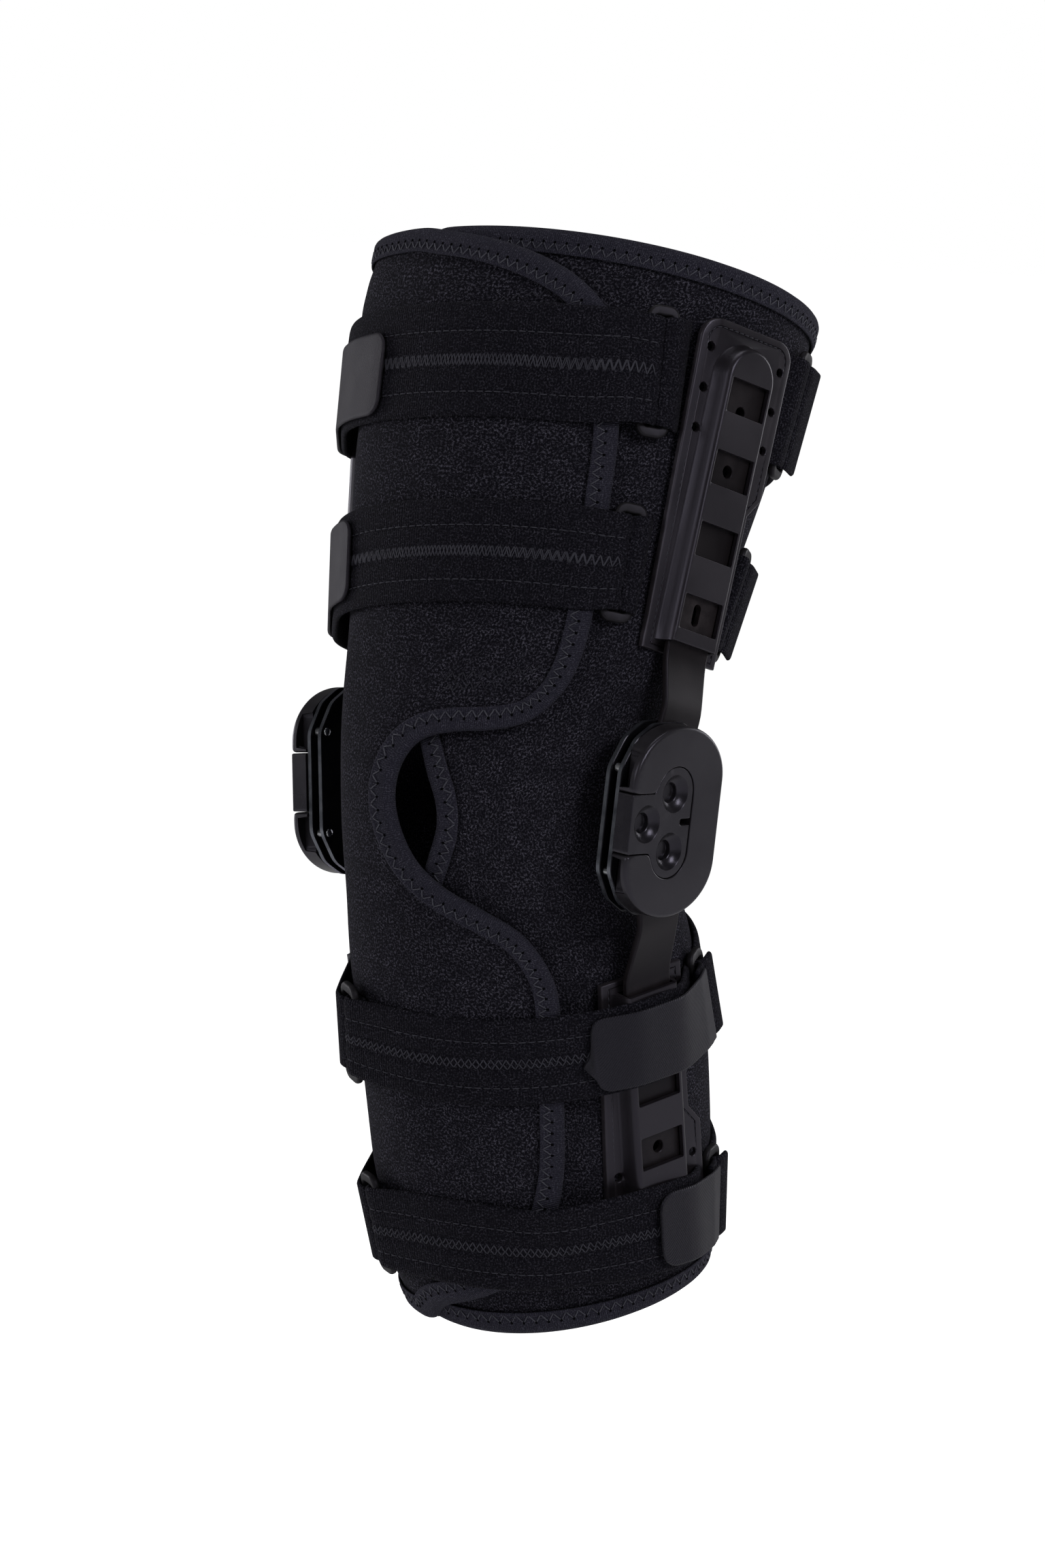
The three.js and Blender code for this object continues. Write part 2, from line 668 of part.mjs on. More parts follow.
// One strap set. Angles run from the sewn side, so that both sides share the same code.
function makeStrapSet(set, channels) {
  const turnTo = (a) => set.side * a;
  const at = (a, width) => ({ ...station(set, turnTo(a), width), angle: a });
  const scaleAt = (a) => perDegree(turnTo(a), levelAt(set, turnTo(a)));
  const ringAt = (a, lift) => {
    const place = raised(at(a, set.width + 2 * RING_OVER), lift);
    const sideways = place.up.clone().cross(place.out).normalize().multiplyScalar(set.side);
    return { ...place, sideways };
  };
  const lay = (from, to, width, thick) => {
    const out = [];
    const step = from < to ? FINE_STEP : -FINE_STEP;
    const count = Math.floor((to - from) / step);
    for (let i = 0; i <= count; i += 1) {
      out.push(raised(at(from + i * step, width), STRAP_SEAT + thick / 2));
    }
    return out;
  };
  const ring = ringAt(set.ring, RING_LIFT);
  const rearRing = ringAt(REAR_RING, RING_LIFT);
  const farRing = ringAt(-FAR_RING, FAR_RING_LIFT);
  addPart(`${set.name}_front_ring`, makeRing(ring, set.width), 'ring');
  addPart(`${set.name}_rear_ring`, makeRing(rearRing, set.width), 'ring');
  addPart(`${set.name}_far_ring`, makeRing(farRing, set.width), 'ring');

  // Front strap: sewn round its ring, across the leg, over the channel, back round a ring.
  const nearFold = foldRound(ring, -RING_HALF, FOLD, -90, 90);
  const farFold = foldRound(farRing, RING_HALF, FOLD, -90, -270);
  const start = set.ring - (RING_HALF + TAIL / 2) / scaleAt(set.ring);
  const first = { ...nearFold[nearFold.length - 1], angle: start + FINE_STEP };
  const last = { ...farFold[0], angle: -FAR_RING };
  const upper = set.level > 0;
  const far = channels.find((c) => c.outward.x * set.side < 0 && c.along.z > 0 === upper);
  const walls = overChannel(set, far, STRAP_SEAT + STRAP / 2)
    .map((place) => ({ ...place, angle: -Math.abs(place.angle) }));
  const stop = walls[0].angle + (CHANNEL.front - CHANNEL.wallTop) / scaleAt(CHANNEL_SIDE);
  const laid = taut([first, ...lay(start, stop, set.width, STRAP), ...walls, last], -set.side);
  const run = thinned(laid).slice(1, -1);
  const turned = run[run.length - 1];
  const above = STRAP + RETURN_SEAT;
  const tail = byRing(ring, -RING_HALF - TAIL / 4, -FOLD);
  const strap = [tail, ...nearFold, ...run, ...farFold, raised(turned, above)];
  addPart(`${set.name}_strap`, ribbon(strap, set.width, STRAP), 'strap');

  // Tab at the strap's free end, lying back over the strap.
  const tabRun = [...run].reverse();
  const tabFrom = turned.angle + 2 / scaleAt(turned.angle);
  const tabTo = -set.tabEnd;
  const trim = (set.flat ? TAIL / 2 : TAIL) / scaleAt(tabTo);
  const tabPlaces = [between(tabRun, tabFrom)];
  for (const place of tabRun) {
    if (place.angle > tabFrom + 1 && place.angle < tabTo - trim - 1) tabPlaces.push(place);
  }
  tabPlaces.push(between(tabRun, tabTo - trim));
  tabPlaces.push({ ...between(tabRun, tabTo), width: set.tabWidth * set.tip });
  const over = STRAP / 2 + RETURN_SEAT + TAB / 2;
  const tab = tabPlaces.map((place) => raised(place, over));
  addPart(`${set.name}_tab`, ribbon(tab, set.tabWidth, TAB), set.flat ? 'hook' : 'twill');

  // Rear strap: from the ring behind the sewn side round the back to the far ring.
  const rearFold = foldRound(rearRing, RING_HALF, FOLD, 90, 270);
  const endFold = foldRound(farRing, -RING_HALF, FOLD, -90, 90);
  const rearFrom = REAR_RING + (RING_HALF + TAIL) / scaleAt(REAR_RING);
  const rearTo = 360 - FAR_RING - (RING_HALF + TAIL) / scaleAt(FAR_RING);
  const rearFirst = { ...rearFold[rearFold.length - 1], angle: rearFrom - FINE_STEP };
  const rearLast = { ...endFold[0], angle: rearTo + FINE_STEP };
  const rearLaid = taut([rearFirst, ...lay(rearFrom, rearTo, set.width, STRAP), rearLast], set.side);
  const rear = [
    byRing(rearRing, RING_HALF + TAIL, FOLD - 0.2), ...rearFold, ...thinned(rearLaid).slice(1, -1),
    ...endFold, byRing(farRing, -RING_HALF - TAIL, FOLD - 0.2),
  ];
  addPart(`${set.name}_rear_strap`, ribbon(rear, set.width, STRAP), 'strap');

  // Short bands that hold the two rings of the sewn side to the channel's edges.
  const fold = WIRE + FOLD_SEAT + ANCHOR / 2;
  const arm = Math.abs(armAngle(levelAt(set, turnTo(90))));
  const band = set.width - 2;
  const frontEnd = arm - (CHANNEL.front + BAND_GAP) / scaleAt(arm);
  const frontFold = foldRound(ring, RING_HALF, fold, 90, 270);
  const frontFrom = set.ring + (RING_HALF + 3) / scaleAt(set.ring);
  const frontBand = frontFrom < frontEnd - 1 ? lay(frontFrom, frontEnd, band, ANCHOR) : [];
  addPart(`${set.name}_front_band`,
    ribbon([...frontFold, ...thinned(frontBand.concat(
      raised(at(frontEnd, band), STRAP_SEAT + ANCHOR / 2)))], band, ANCHOR), 'strap');
  const hem = set.wide ? CHANNEL.rear : CHANNEL.rearNarrow;
  const rearEnd = arm + (hem + BAND_GAP) / scaleAt(arm);
  const bandFold = foldRound(rearRing, -RING_HALF, fold, -90, 90);
  addPart(`${set.name}_rear_band`,
    ribbon([raised(at(rearEnd, band), STRAP_SEAT + ANCHOR / 2), ...bandFold], band, ANCHOR), 'strap');
}

// Angle at which the arms' centre line crosses a height of the leg form.
function armAngle(z) {
  const s = legSection(z);
  return Math.acos((s.y - LEAN * Math.abs(z)) / s.deep) / RAD;
}

function flangeSag(x) {
  return -x * x / (2 * CHANNEL.sagRadius);
}

// Axes of a channel: x across, y from the hinge end to the far end, z outwards.
function channelFrame(side, start) {
  const far = start + Math.sign(start) * CHANNEL.length * 0.96;
  const half = (start + far) / 2;
  const a = onLeg(side * armAngle(start), start, 0);
  const b = onLeg(side * armAngle(far), far, 0);
  const along = b.clone().sub(a).normalize();
  const middle = side * armAngle(half);
  const across = onLeg(middle + 2, half, 0).sub(onLeg(middle - 2, half, 0));
  const outward = across.clone().cross(along).normalize();
  if (outward.x * side < 0) outward.negate();
  across.copy(along).cross(outward).normalize();
  const flat = new THREE.Matrix4().makeBasis(across, along, outward).setPosition(a);
  const back = flat.clone().invert();
  let bulge = 0;
  for (const x of [-CHANNEL.front, -CHANNEL.wallBase, 0, CHANNEL.wallBase, CHANNEL.front]) {
    for (let y = 0; y <= CHANNEL.length; y += STEP) {
      const under = new THREE.Vector3(x, y, 0).applyMatrix4(flat);
      const cloth = onLeg(angleOf(under), under.z, 0).applyMatrix4(back);
      bulge = Math.max(bulge, cloth.z - flangeSag(x));
    }
  }
  const origin = a.addScaledVector(outward, bulge + CHANNEL_SEAT);
  const matrix = new THREE.Matrix4().makeBasis(across, along, outward).setPosition(origin);
  return {
    origin, across, along, outward, matrix, inverse: matrix.clone().invert(), rear: Math.sign(across.y),
  };
}

function basis({ origin, across, along, outward }) {
  return new THREE.Matrix4().makeBasis(across, along, outward).setPosition(origin);
}

function roundedOutline(points, radius) {
  const shape = new THREE.Shape();
  const count = points.length;
  points.forEach((corner, i) => {
    const before = points[(i + count - 1) % count];
    const after = points[(i + 1) % count];
    const r = corner.length > 2 ? corner[2] : radius;
    const toBefore = new THREE.Vector2(before[0] - corner[0], before[1] - corner[1]);
    const toAfter = new THREE.Vector2(after[0] - corner[0], after[1] - corner[1]);
    const cutIn = Math.min(r, toBefore.length() / 2, toAfter.length() / 2);
    const a = toBefore.setLength(cutIn);
    const b = toAfter.setLength(cutIn);
    if (i === 0) shape.moveTo(corner[0] + a.x, corner[1] + a.y);
    else shape.lineTo(corner[0] + a.x, corner[1] + a.y);
    shape.quadraticCurveTo(corner[0], corner[1], corner[0] + b.x, corner[1] + b.y);
  });
  shape.closePath();
  return shape;
}

// Prism of a cross section that runs the length of a channel.
function lengthwise(section, from, to) {
  return loft([from, to].map((y) => section.map(([x, z]) => new THREE.Vector3(x, y, z))), false);
}

function makeChannel(frame) {
  const c = CHANNEL;
  const rearSide = frame.rear;
  const wide = [-c.front - 2, -c.wallBase, 0, c.wallBase, c.front + 2];
  const under = wide.map((x) => [x, flangeSag(x)]);
  const over = wide.map((x) => [x, flangeSag(x) + c.flange]).reverse();
  const plan = roundedOutline([
    [-rearSide * c.frontNarrow, 0], [rearSide * c.rearNarrow, 0, 3],
    [rearSide * c.rearNarrow, c.stepFrom, 4], [rearSide * c.rear, c.stepTo, 4],
    [rearSide * c.rear, c.length], [-rearSide * c.front, c.length],
  ], c.corner);
  const top = c.length - c.roofEnd;
  const wallPlan = new THREE.Shape();
  wallPlan.moveTo(-c.wallBase, 1);
  wallPlan.lineTo(c.wallBase, 1);
  wallPlan.lineTo(c.wallBase, top - c.wallBase);
  wallPlan.absarc(0, top - c.wallBase, c.wallBase, 0, Math.PI, false);
  wallPlan.closePath();
  const hat = [
    [-c.wallBase, -1], [-c.wallTop, c.height], [c.wallTop, c.height], [c.wallBase, -1],
  ];
  let body = toManifold(lengthwise(under.concat(over), -1, c.length + 1))
    .intersect(toManifold(slab(plan, -20, 20, 2)));
  body = body.add(toManifold(lengthwise(hat, -2, c.length))
    .intersect(toManifold(slab(wallPlan, -20, 20, 4))));
  const roofUnder = c.height - c.roof;
  const pocket = [
    [-c.pocket, -9], [-c.pocket, roofUnder], [c.pocket, roofUnder], [c.pocket, -9],
  ];
  body = body.subtract(toManifold(lengthwise(pocket, -5, BAR.end + 1)));
  for (let i = 0; i < WINDOW.count; i += 1) {
    const y = WINDOW.first + i * WINDOW.pitch;
    const gap = new THREE.Shape();
    gap.moveTo(-WINDOW.half, y);
    gap.lineTo(WINDOW.half, y);
    gap.lineTo(WINDOW.half, y + WINDOW.length);
    gap.lineTo(-WINDOW.half, y + WINDOW.length);
    gap.closePath();
    body = body.subtract(toManifold(slab(gap, 2, 20)));
  }
  const holes = [
    [-rearSide * (c.front - RIVET.inset), c.length - 9], [rearSide * (c.rear - RIVET.inset), c.length - 9],
    [-rearSide * (c.front - RIVET.inset), c.length - 42], [-rearSide * (c.frontNarrow - RIVET.inset + 1), 20],
    [rearSide * (c.rear - RIVET.inset), c.stepTo + 14],
  ];
  for (const [x, y] of holes) {
    body = body.subtract(toManifold(discSlab(x, y, RIVET.radius, -20, 20, 6)));
  }
  return fromManifold(body).applyMatrix4(frame.matrix);
}

function hingeFrame(side) {
  const a = HINGE.lean * RAD;
  const along = new THREE.Vector3(side * Math.sin(a), 0, Math.cos(a));
  const outward = new THREE.Vector3(side * Math.cos(a), 0, -Math.sin(a));
  const across = along.clone().cross(outward);
  return {
    origin: new THREE.Vector3(side * HINGE.face, 0, 0), across, along, outward, rear: Math.sign(across.y),
  };
}

// Flat bar: straight in its channel, stepped out to the hinge, its head between the plates.
function makeBar(frame, hinge, upper) {
  const bar = BAR;
  const rings = [];
  const addSection = (centre, across, outward, half) => {
    const t = outward.clone().multiplyScalar(bar.thick / 2);
    const w = across.clone().multiplyScalar(half);
    rings.push([
      centre.clone().sub(w).sub(t), centre.clone().add(w).sub(t),
      centre.clone().add(w).add(t), centre.clone().sub(w).add(t),
    ]);
  };
  const inChannel = (y) => frame.origin.clone().addScaledVector(frame.along, y)
    .addScaledVector(frame.outward, bar.under + bar.thick / 2);
  const sign = upper ? 1 : -1;
  const hingeAlong = hinge.along.clone().multiplyScalar(sign);
  const slope = frame.along.y / Math.abs(frame.along.z);
  const inHinge = (y) => hinge.origin.clone().addScaledVector(hingeAlong, y)
    .addScaledVector(hinge.outward, BAR_MID).add(new THREE.Vector3(0, slope * y, 0));
  const turn = Math.sign(frame.across.dot(hinge.across));
  const hingeAcross = hinge.across.clone().multiplyScalar(turn);
  const leanAcross = hingeAcross.clone().addScaledVector(hingeAlong, -slope * Math.sign(hingeAcross.y))
    .normalize();
  addSection(inChannel(bar.end), frame.across, frame.outward, bar.half - 4);
  addSection(inChannel(bar.end - 4), frame.across, frame.outward, bar.half);
  addSection(inChannel(-1), frame.across, frame.outward, bar.half);
  addSection(inHinge(44), leanAcross, hinge.outward, bar.half);
  addSection(inHinge(bar.headReach + 8), leanAcross, hinge.outward, bar.half);
  addSection(inHinge(bar.headReach), leanAcross, hinge.outward, bar.half - 5);
  let body = toManifold(loft(rings, false));
  const { matrix } = frame;
  for (let i = 0; i < WINDOW.count; i += 1) {
    const y = WINDOW.first + i * WINDOW.pitch + WINDOW.length / 2;
    const hole = discSlab(0, y, bar.holeRadius, -5, 12, 6).applyMatrix4(matrix);
    body = body.subtract(toManifold(hole));
  }
  return fromManifold(body);
}

function coverOutline(inset) {
  const w = HINGE.halfWidth - inset;
  const shape = new THREE.Shape();
  shape.moveTo(w, -HINGE.straight);
  shape.lineTo(w, HINGE.straight);
  shape.absellipse(0, HINGE.straight, w, HINGE.endRise - inset, 0, Math.PI, false, 0);
  shape.lineTo(-w, -HINGE.straight);
  shape.absellipse(0, -HINGE.straight, w, HINGE.endRise - inset, Math.PI, 2 * Math.PI, false, 0);
  shape.closePath();
  return shape;
}

// Outline of the stop insert: a front block that widens to two round lobes.
function insertOutline(front, grow) {
  const n = INSERT;
  const half = n.half + grow;
  const lobe = n.lobe + grow;
  const shape = new THREE.Shape();
  shape.moveTo(front, -half);
  shape.lineTo(n.neck, -half);
  shape.absarc(n.lobeX, -n.lobeZ, lobe, 1.12 * Math.PI, 2 * Math.PI, false);
  shape.lineTo(n.lobeX + lobe, n.lobeZ);
  shape.absarc(n.lobeX, n.lobeZ, lobe, 0, 0.88 * Math.PI, false);
  shape.lineTo(n.neck, half);
  shape.lineTo(front, half);
  shape.closePath();
  return shape;
}

function plateOutline() {
  const p = PLATE;
  return roundedOutline([
    [p.halfWidth, -p.halfFlat, 2], [p.halfWidth, p.halfFlat, 2],
    [PLATE_SHOULDER_HALF, p.shoulder, 4], [PLATE_TOP_HALF, p.top, 3], [-PLATE_TOP_HALF, p.top, 3],
    [-PLATE_SHOULDER_HALF, p.shoulder, 4], [-p.halfWidth, p.halfFlat, 2],
    [-p.halfWidth, -p.halfFlat, 2], [-PLATE_SHOULDER_HALF, -p.shoulder, 4],
    [-PLATE_TOP_HALF, -p.top, 3], [PLATE_TOP_HALF, -p.top, 3], [PLATE_SHOULDER_HALF, -p.shoulder, 4],
  ], 2);
}

function makeHinge(name, side) {
  const frame = hingeFrame(side);
  const matrix = basis(frame).multiply(new THREE.Matrix4().makeRotationZ(side > 0 ? 0 : Math.PI));
  const put = (geometry) => geometry.applyMatrix4(matrix);
  const c = COVER;

  const bevelled = new THREE.ExtrudeGeometry(coverOutline(c.edge), {
    depth: c.thick - c.edge, bevelEnabled: true, bevelSegments: 1,
    bevelSize: c.edge, bevelThickness: c.edge, curveSegments: 8,
  }).translate(0, 0, -(c.thick - c.edge) - c.edge);
  const flatBack = slab(coverOutline(-5), -c.thick, 5, 4);
  let cover = toManifold(bevelled).intersect(toManifold(flatBack));
  cover = cover.subtract(toManifold(slab(insertOutline(-HINGE.halfWidth - 6, SEAT), -20, 5, 5)));
  for (const end of [-1, 1]) {
    const notch = new THREE.Shape();
    const from = INSERT.half + 2.2;
    notch.moveTo(-HINGE.halfWidth - 6, end * from);
    notch.lineTo(-HINGE.halfWidth + 5, end * from);
    notch.lineTo(-HINGE.halfWidth + 5, end * (from + 15));
    notch.lineTo(-HINGE.halfWidth - 6, end * (from + 15));
    notch.closePath();
    cover = cover.subtract(toManifold(slab(notch, -c.thick - 1, -3.2)));
  }
  addPart(`${name}_hinge_cover`, put(fromManifold(cover)), 'plastic');

  let insert = toManifold(slab(insertOutline(-HINGE.halfWidth, 0), -c.thick, -SEAT, 5));
  const recesses = [[RECESS.frontX, 0], [INSERT.lobeX, INSERT.lobeZ], [INSERT.lobeX, -INSERT.lobeZ]];
  for (const [x, z] of recesses) {
    const profile = [
      new THREE.Vector2(0, -c.thick - 2), new THREE.Vector2(RECESS.inner, -c.thick - 2),
      new THREE.Vector2(RECESS.inner, -SEAT - RECESS.deep), new THREE.Vector2(RECESS.outer, -SEAT),
      new THREE.Vector2(RECESS.outer, 2), new THREE.Vector2(0, 2),
    ];
    const cone = new THREE.LatheGeometry(profile, 10).rotateX(Math.PI / 2).translate(x, z, 0);
    insert = insert.subtract(toManifold(cone));
  }
  const slot = new THREE.Shape();
  slot.moveTo(SLOT.from, -SLOT.half);
  slot.lineTo(20, -SLOT.half);
  slot.lineTo(20, SLOT.half);
  slot.lineTo(SLOT.from, SLOT.half);
  slot.closePath();
  insert = insert.subtract(toManifold(slab(slot, -4, 5)));
  addPart(`${name}_stop_insert`, put(fromManifold(insert)), 'plastic');

  const outer = slab(plateOutline(), OUTER_PLATE_TOP - PLATE.thick, OUTER_PLATE_TOP, 1);
  addPart(`${name}_outer_plate`, put(outer), 'plate');
  const inner = slab(plateOutline(), INNER_PLATE_TOP - PLATE.thick, INNER_PLATE_TOP, 1);
  addPart(`${name}_inner_plate`, put(inner), 'plate');
  for (const [end, label] of [[1, 'upper'], [-1, 'lower']]) {
    const pin = discSlab(SPACER.x, end * SPACER.z, SPACER.radius,
      INNER_PLATE_TOP + SEAT, OUTER_PLATE_TOP - PLATE.thick - SEAT);
    addPart(`${name}_${label}_spacer`, put(pin), 'steel');
  }
  const base = INNER_PLATE_TOP - PLATE.thick - SEAT;
  const profile = [
    new THREE.Vector2(0, -STUD.tall), new THREE.Vector2(STUD.radius - 1, -STUD.tall),
    new THREE.Vector2(STUD.radius, -STUD.tall + 1), new THREE.Vector2(STUD.neck, -1),
    new THREE.Vector2(STUD.neck, 0), new THREE.Vector2(0, 0),
  ];
  const stud = new THREE.LatheGeometry(profile, 8).rotateX(Math.PI / 2).translate(STUD.x, 0, base);
  addPart(`${name}_pad_stud`, put(stud), 'steel');
}

addPart('sleeve', makeSleeve(), 'cloth');
addPart('edge_tape', makeTape(), 'tape');
const channels = [];
for (const [name, side] of [['right', 1], ['left', -1]]) {
  const hinge = hingeFrame(side);
  for (const [part, start] of [['thigh', THIGH_START], ['calf', CALF_START]]) {
    const frame = channelFrame(side, start);
    channels.push(frame);
    addPart(`${name}_${part}_channel`, makeChannel(frame), 'plastic');
    addPart(`${name}_${part}_bar`, makeBar(frame, hinge, start > 0), 'bar');
  }
  makeHinge(name, side);
}
for (const set of STRAPS) makeStrapSet(set, channels);

export default group;
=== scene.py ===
import math

import bpy
import numpy as np
from mathutils import Matrix, Vector
from mathutils.geometry import delaunay_2d_cdt
from mathutils.kdtree import KDTree


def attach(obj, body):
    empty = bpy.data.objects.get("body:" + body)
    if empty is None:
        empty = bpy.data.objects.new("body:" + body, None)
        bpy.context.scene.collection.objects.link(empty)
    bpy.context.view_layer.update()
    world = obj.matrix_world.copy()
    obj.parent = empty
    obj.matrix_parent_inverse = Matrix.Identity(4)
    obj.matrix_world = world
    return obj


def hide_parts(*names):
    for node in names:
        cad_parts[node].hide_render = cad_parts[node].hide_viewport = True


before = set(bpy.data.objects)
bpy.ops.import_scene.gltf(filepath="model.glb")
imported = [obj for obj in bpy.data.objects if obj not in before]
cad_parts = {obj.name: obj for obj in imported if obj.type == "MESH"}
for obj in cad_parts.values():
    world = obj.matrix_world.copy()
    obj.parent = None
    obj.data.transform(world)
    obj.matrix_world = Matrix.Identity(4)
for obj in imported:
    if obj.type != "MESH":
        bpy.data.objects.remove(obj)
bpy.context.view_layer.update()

MM = 0.001
DEG = math.pi / 180

# Worn form: height, centre x, centre y, half width, half depth, in millimetres, from the bottom up.
FORM = np.array([
    (-230, -14.0, 68.0, 53.5, 58.0), (-205, -13.0, 62.5, 61.0, 67.5), (-185, -12.5, 59.3, 66.0, 73.5),
    (-150, -11.3, 51.8, 69.6, 77.7), (-75, -7.5, 33.0, 71.4, 78.5), (-40, -4.0, 16.0, 68.0, 72.0),
    (0, 0.0, 2.0, 66.5, 69.0), (40, -3.5, 9.0, 75.0, 67.0), (71, -7.5, 20.5, 83.0, 67.5),
    (140, -16.5, 46.5, 92.5, 81.5), (200, -22.0, 68.0, 98.5, 90.0), (245, -27.0, 85.0, 103.0, 91.0),
], float)
# Level planes round the form: height = level + front * cos(angle) + right * sin(angle).
TOP_RIM = (212.4, 25.9, 5.9)
BOTTOM_RIM = (-207.5, -17.8, -3.5)

# Thickness of the cloth and of its edge tape, the tape's width, and the space between the two.
CLOTH = 3.6
TAPE = 0.9
TAPE_WIDTH = 8.5
TAPE_SEAT = 0.97
# The flap's height over the other end of the panel, and the angles between which the cloth rises to it.
FLAP_LIFT = CLOTH + TAPE + 2 * TAPE_SEAT
RAMP = (290, 336)
# Columns of the solid sleeve: first angle, step and number in a turn; its rows as shares of the height.
WRAP_FROM, WRAP_STEP, WRAP_TURN = -16, 12, 30
ROWS = np.array([0, 0.025, 0.055, 0.1, 0.19, 0.3, 0.39, 0.45, 0.505, 0.56, 0.64, 0.75, 0.86, 0.95, 1])

# Edge of the outer flap, and of the panel's end under it, from the top down: angle and height.
FLAP_EDGE = np.array([
    (-28, 250), (-16, 235.9), (-4, 236), (8, 234.2), (20, 229.4), (32, 220.2), (41.5, 206), (46.5, 184),
    (49.6, 158), (50.9, 128), (51.8, 82), (51.6, 68.7), (49.6, 51), (44, 41.4), (32, 36.2), (20, 34.6),
    (8, 28.6), (2.5, 18), (1.2, 8.6), (4.5, -9.3), (9.9, -21.9), (20, -33), (32, -41.2), (44, -51.5),
    (49.4, -66), (50, -100), (49.5, -129), (47.8, -155.6), (41, -183), (37, -191.5), (32, -198.5),
    (20, -206.5), (8, -211.5), (-4, -215.5), (-16, -223.8), (-28, -236),
], float)
PANEL_EDGE = np.array([
    (-10, 262), (-10, 150), (-8, 75), (2, 45), (8, 30), (13.5, 16), (19, 2), (19.4, -6.4), (16.4, -16),
    (8, -38), (2, -54), (-8, -90), (-14, -160), (-26, -250),
], float)

# Strap sets: width, level plane, side of the sewn end (+1 right), ring and tab angles, the tab's width, kind
# and shift, and whether the set meets the wide part of the channel's flange.
STRAPS = {
    "thigh_upper": dict(width=49, plane=(164.5, 18.5, 9.5), side=1, ring=57, tab_end=14.5, tab_width=36,
                        tab="hook", wide=True, tab_shift=-4.5),
    "thigh_lower": dict(width=43, plane=(84.5, 20, 11), side=1, ring=59.3, tab_end=24, tab_width=35,
                        tab="hook", wide=False),
    "calf_upper": dict(width=38, plane=(-80.5, -23, -8.5), side=-1, ring=22, tab_end=56, tab_width=33,
                       tab="wavy", wide=False),
    "calf_lower": dict(width=40, plane=(-168.3, -15.4, -4.5), side=-1, ring=22, tab_end=76, tab_width=34,
                       tab="twill", wide=True),
}
# Thickness of straps, tabs and ring bands, and the space under a strap, in its return and in its folds.
STRAP = 2.4
TAB = 1.5
ANCHOR = 1.8
STRAP_SEAT = 1.0
RETURN_SEAT = 0.75
FOLD_SEAT = 0.6
# Rings: half thickness, half width between bars, reach past the strap, height off the cloth, and angles.
WIRE = 1.55
RING_HALF = 5.5
RING_OVER = 4.2
RING_LIFT = 5.0
FAR_RING_LIFT = {1: 4.8, -1: 3.8}
REAR_RING = 110
FAR_RING = 110
# Folds round a ring's bar: radius, how far in they sit, and the tail beyond.
FOLD = WIRE + FOLD_SEAT + STRAP / 2
FOLD_REACH = 3.0
TAIL = 8
# Space between a ring band and the channel, and how much narrower than the strap the band is.
BAND_GAP = 1.0
BAND_LESS = 2
# Share of a strap's width that is left at a ring, and the step in degrees along a laid strap.
NECK = 0.93
FINE = 2

# How far back the channels run for each millimetre of height, and their angle from the front at mid length.
LEAN = 0.262
CHANNEL_ANGLE = 85
CHANNEL = dict(length=134, front=24, front_narrow=20, step_from=66, step_to=74, corner=9, wall_base=14.6,
               wall_top=13.6, height=9.6, sag=80, seat=0.55)
# Rear flanges by side: wide and narrow width, the width from which they lie flat, and the share of an
# inset that the narrow edge follows.
REAR_FLANGE = {1: dict(wide=28, narrow=22, flat_from=9, follow=1),
               -1: dict(wide=23, narrow=17, flat_from=23, follow=0.27)}
# Space between hard pieces.
SEAT = 0.35
# Hollows of the cloth: depth, heights between which it sets in or ends, middle angle and reach round.
HOLLOWS = {
    "rim": dict(depth=-10.0, heights=((192, 226),), middle=292, reach=26),
    "side": dict(depth=-5.0, heights=((-205, -170), (205, 165)), middle=308, reach=24),
    "calf": dict(depth=-5.0, heights=((-205, -170), (-45, -75)), middle=142, reach=22),
}


# Worn form

def section(z):
    """Centre and half sizes of the worn form at heights z, smooth between the table's rows."""
    z = np.asarray(z, float)
    heights, values = FORM[:, 0], FORM[:, 1:]
    before = np.maximum(np.arange(len(FORM)) - 1, 0)
    after = np.minimum(np.arange(len(FORM)) + 1, len(FORM) - 1)
    slopes = (values[after] - values[before]) / (heights[after] - heights[before])[:, None]
    i = np.clip(np.searchsorted(heights, z) - 1, 0, len(FORM) - 2)
    span = heights[i + 1] - heights[i]
    t = np.clip((z - heights[i]) / span, 0, 1)[..., None]
    out = (values[i] * (2 * t**3 - 3 * t**2 + 1) + slopes[i] * span[..., None] * (t**3 - 2 * t**2 + t)
           + values[i + 1] * (3 * t**2 - 2 * t**3) + slopes[i + 1] * span[..., None] * (t**3 - t**2))
    past = np.minimum(z - heights[i], 0) * (z < heights[0]) + np.maximum(z - heights[-1], 0)
    return out + past[..., None] * np.where((z < heights[0])[..., None], slopes[0], slopes[-1])


def level_at(plane, angle):
    a = np.asarray(angle, float) * DEG
    return plane[0] + plane[1] * np.cos(a) + plane[2] * np.sin(a)


def round_form(angle, z, lift):
    """Points on the smooth worn form, at angles from the front, heights and distances off the cloth."""
    s = section(z)
    a = np.asarray(angle, float) * DEG
    return np.stack([s[..., 0] + (s[..., 2] + lift) * np.sin(a),
                     s[..., 1] - (s[..., 3] + lift) * np.cos(a), np.asarray(z, float) + 0 * a], -1)


def per_degree(angle, z):
    s = section(z)
    a = np.asarray(angle, float) * DEG
    return DEG * np.hypot(s[..., 2] * np.cos(a), s[..., 3] * np.sin(a))


COLUMN_Z = np.array([level_at(BOTTOM_RIM, WRAP_FROM + WRAP_STEP * i)
                     + (level_at(TOP_RIM, WRAP_FROM + WRAP_STEP * i)
                        - level_at(BOTTOM_RIM, WRAP_FROM + WRAP_STEP * i)) * ROWS for i in range(WRAP_TURN)])


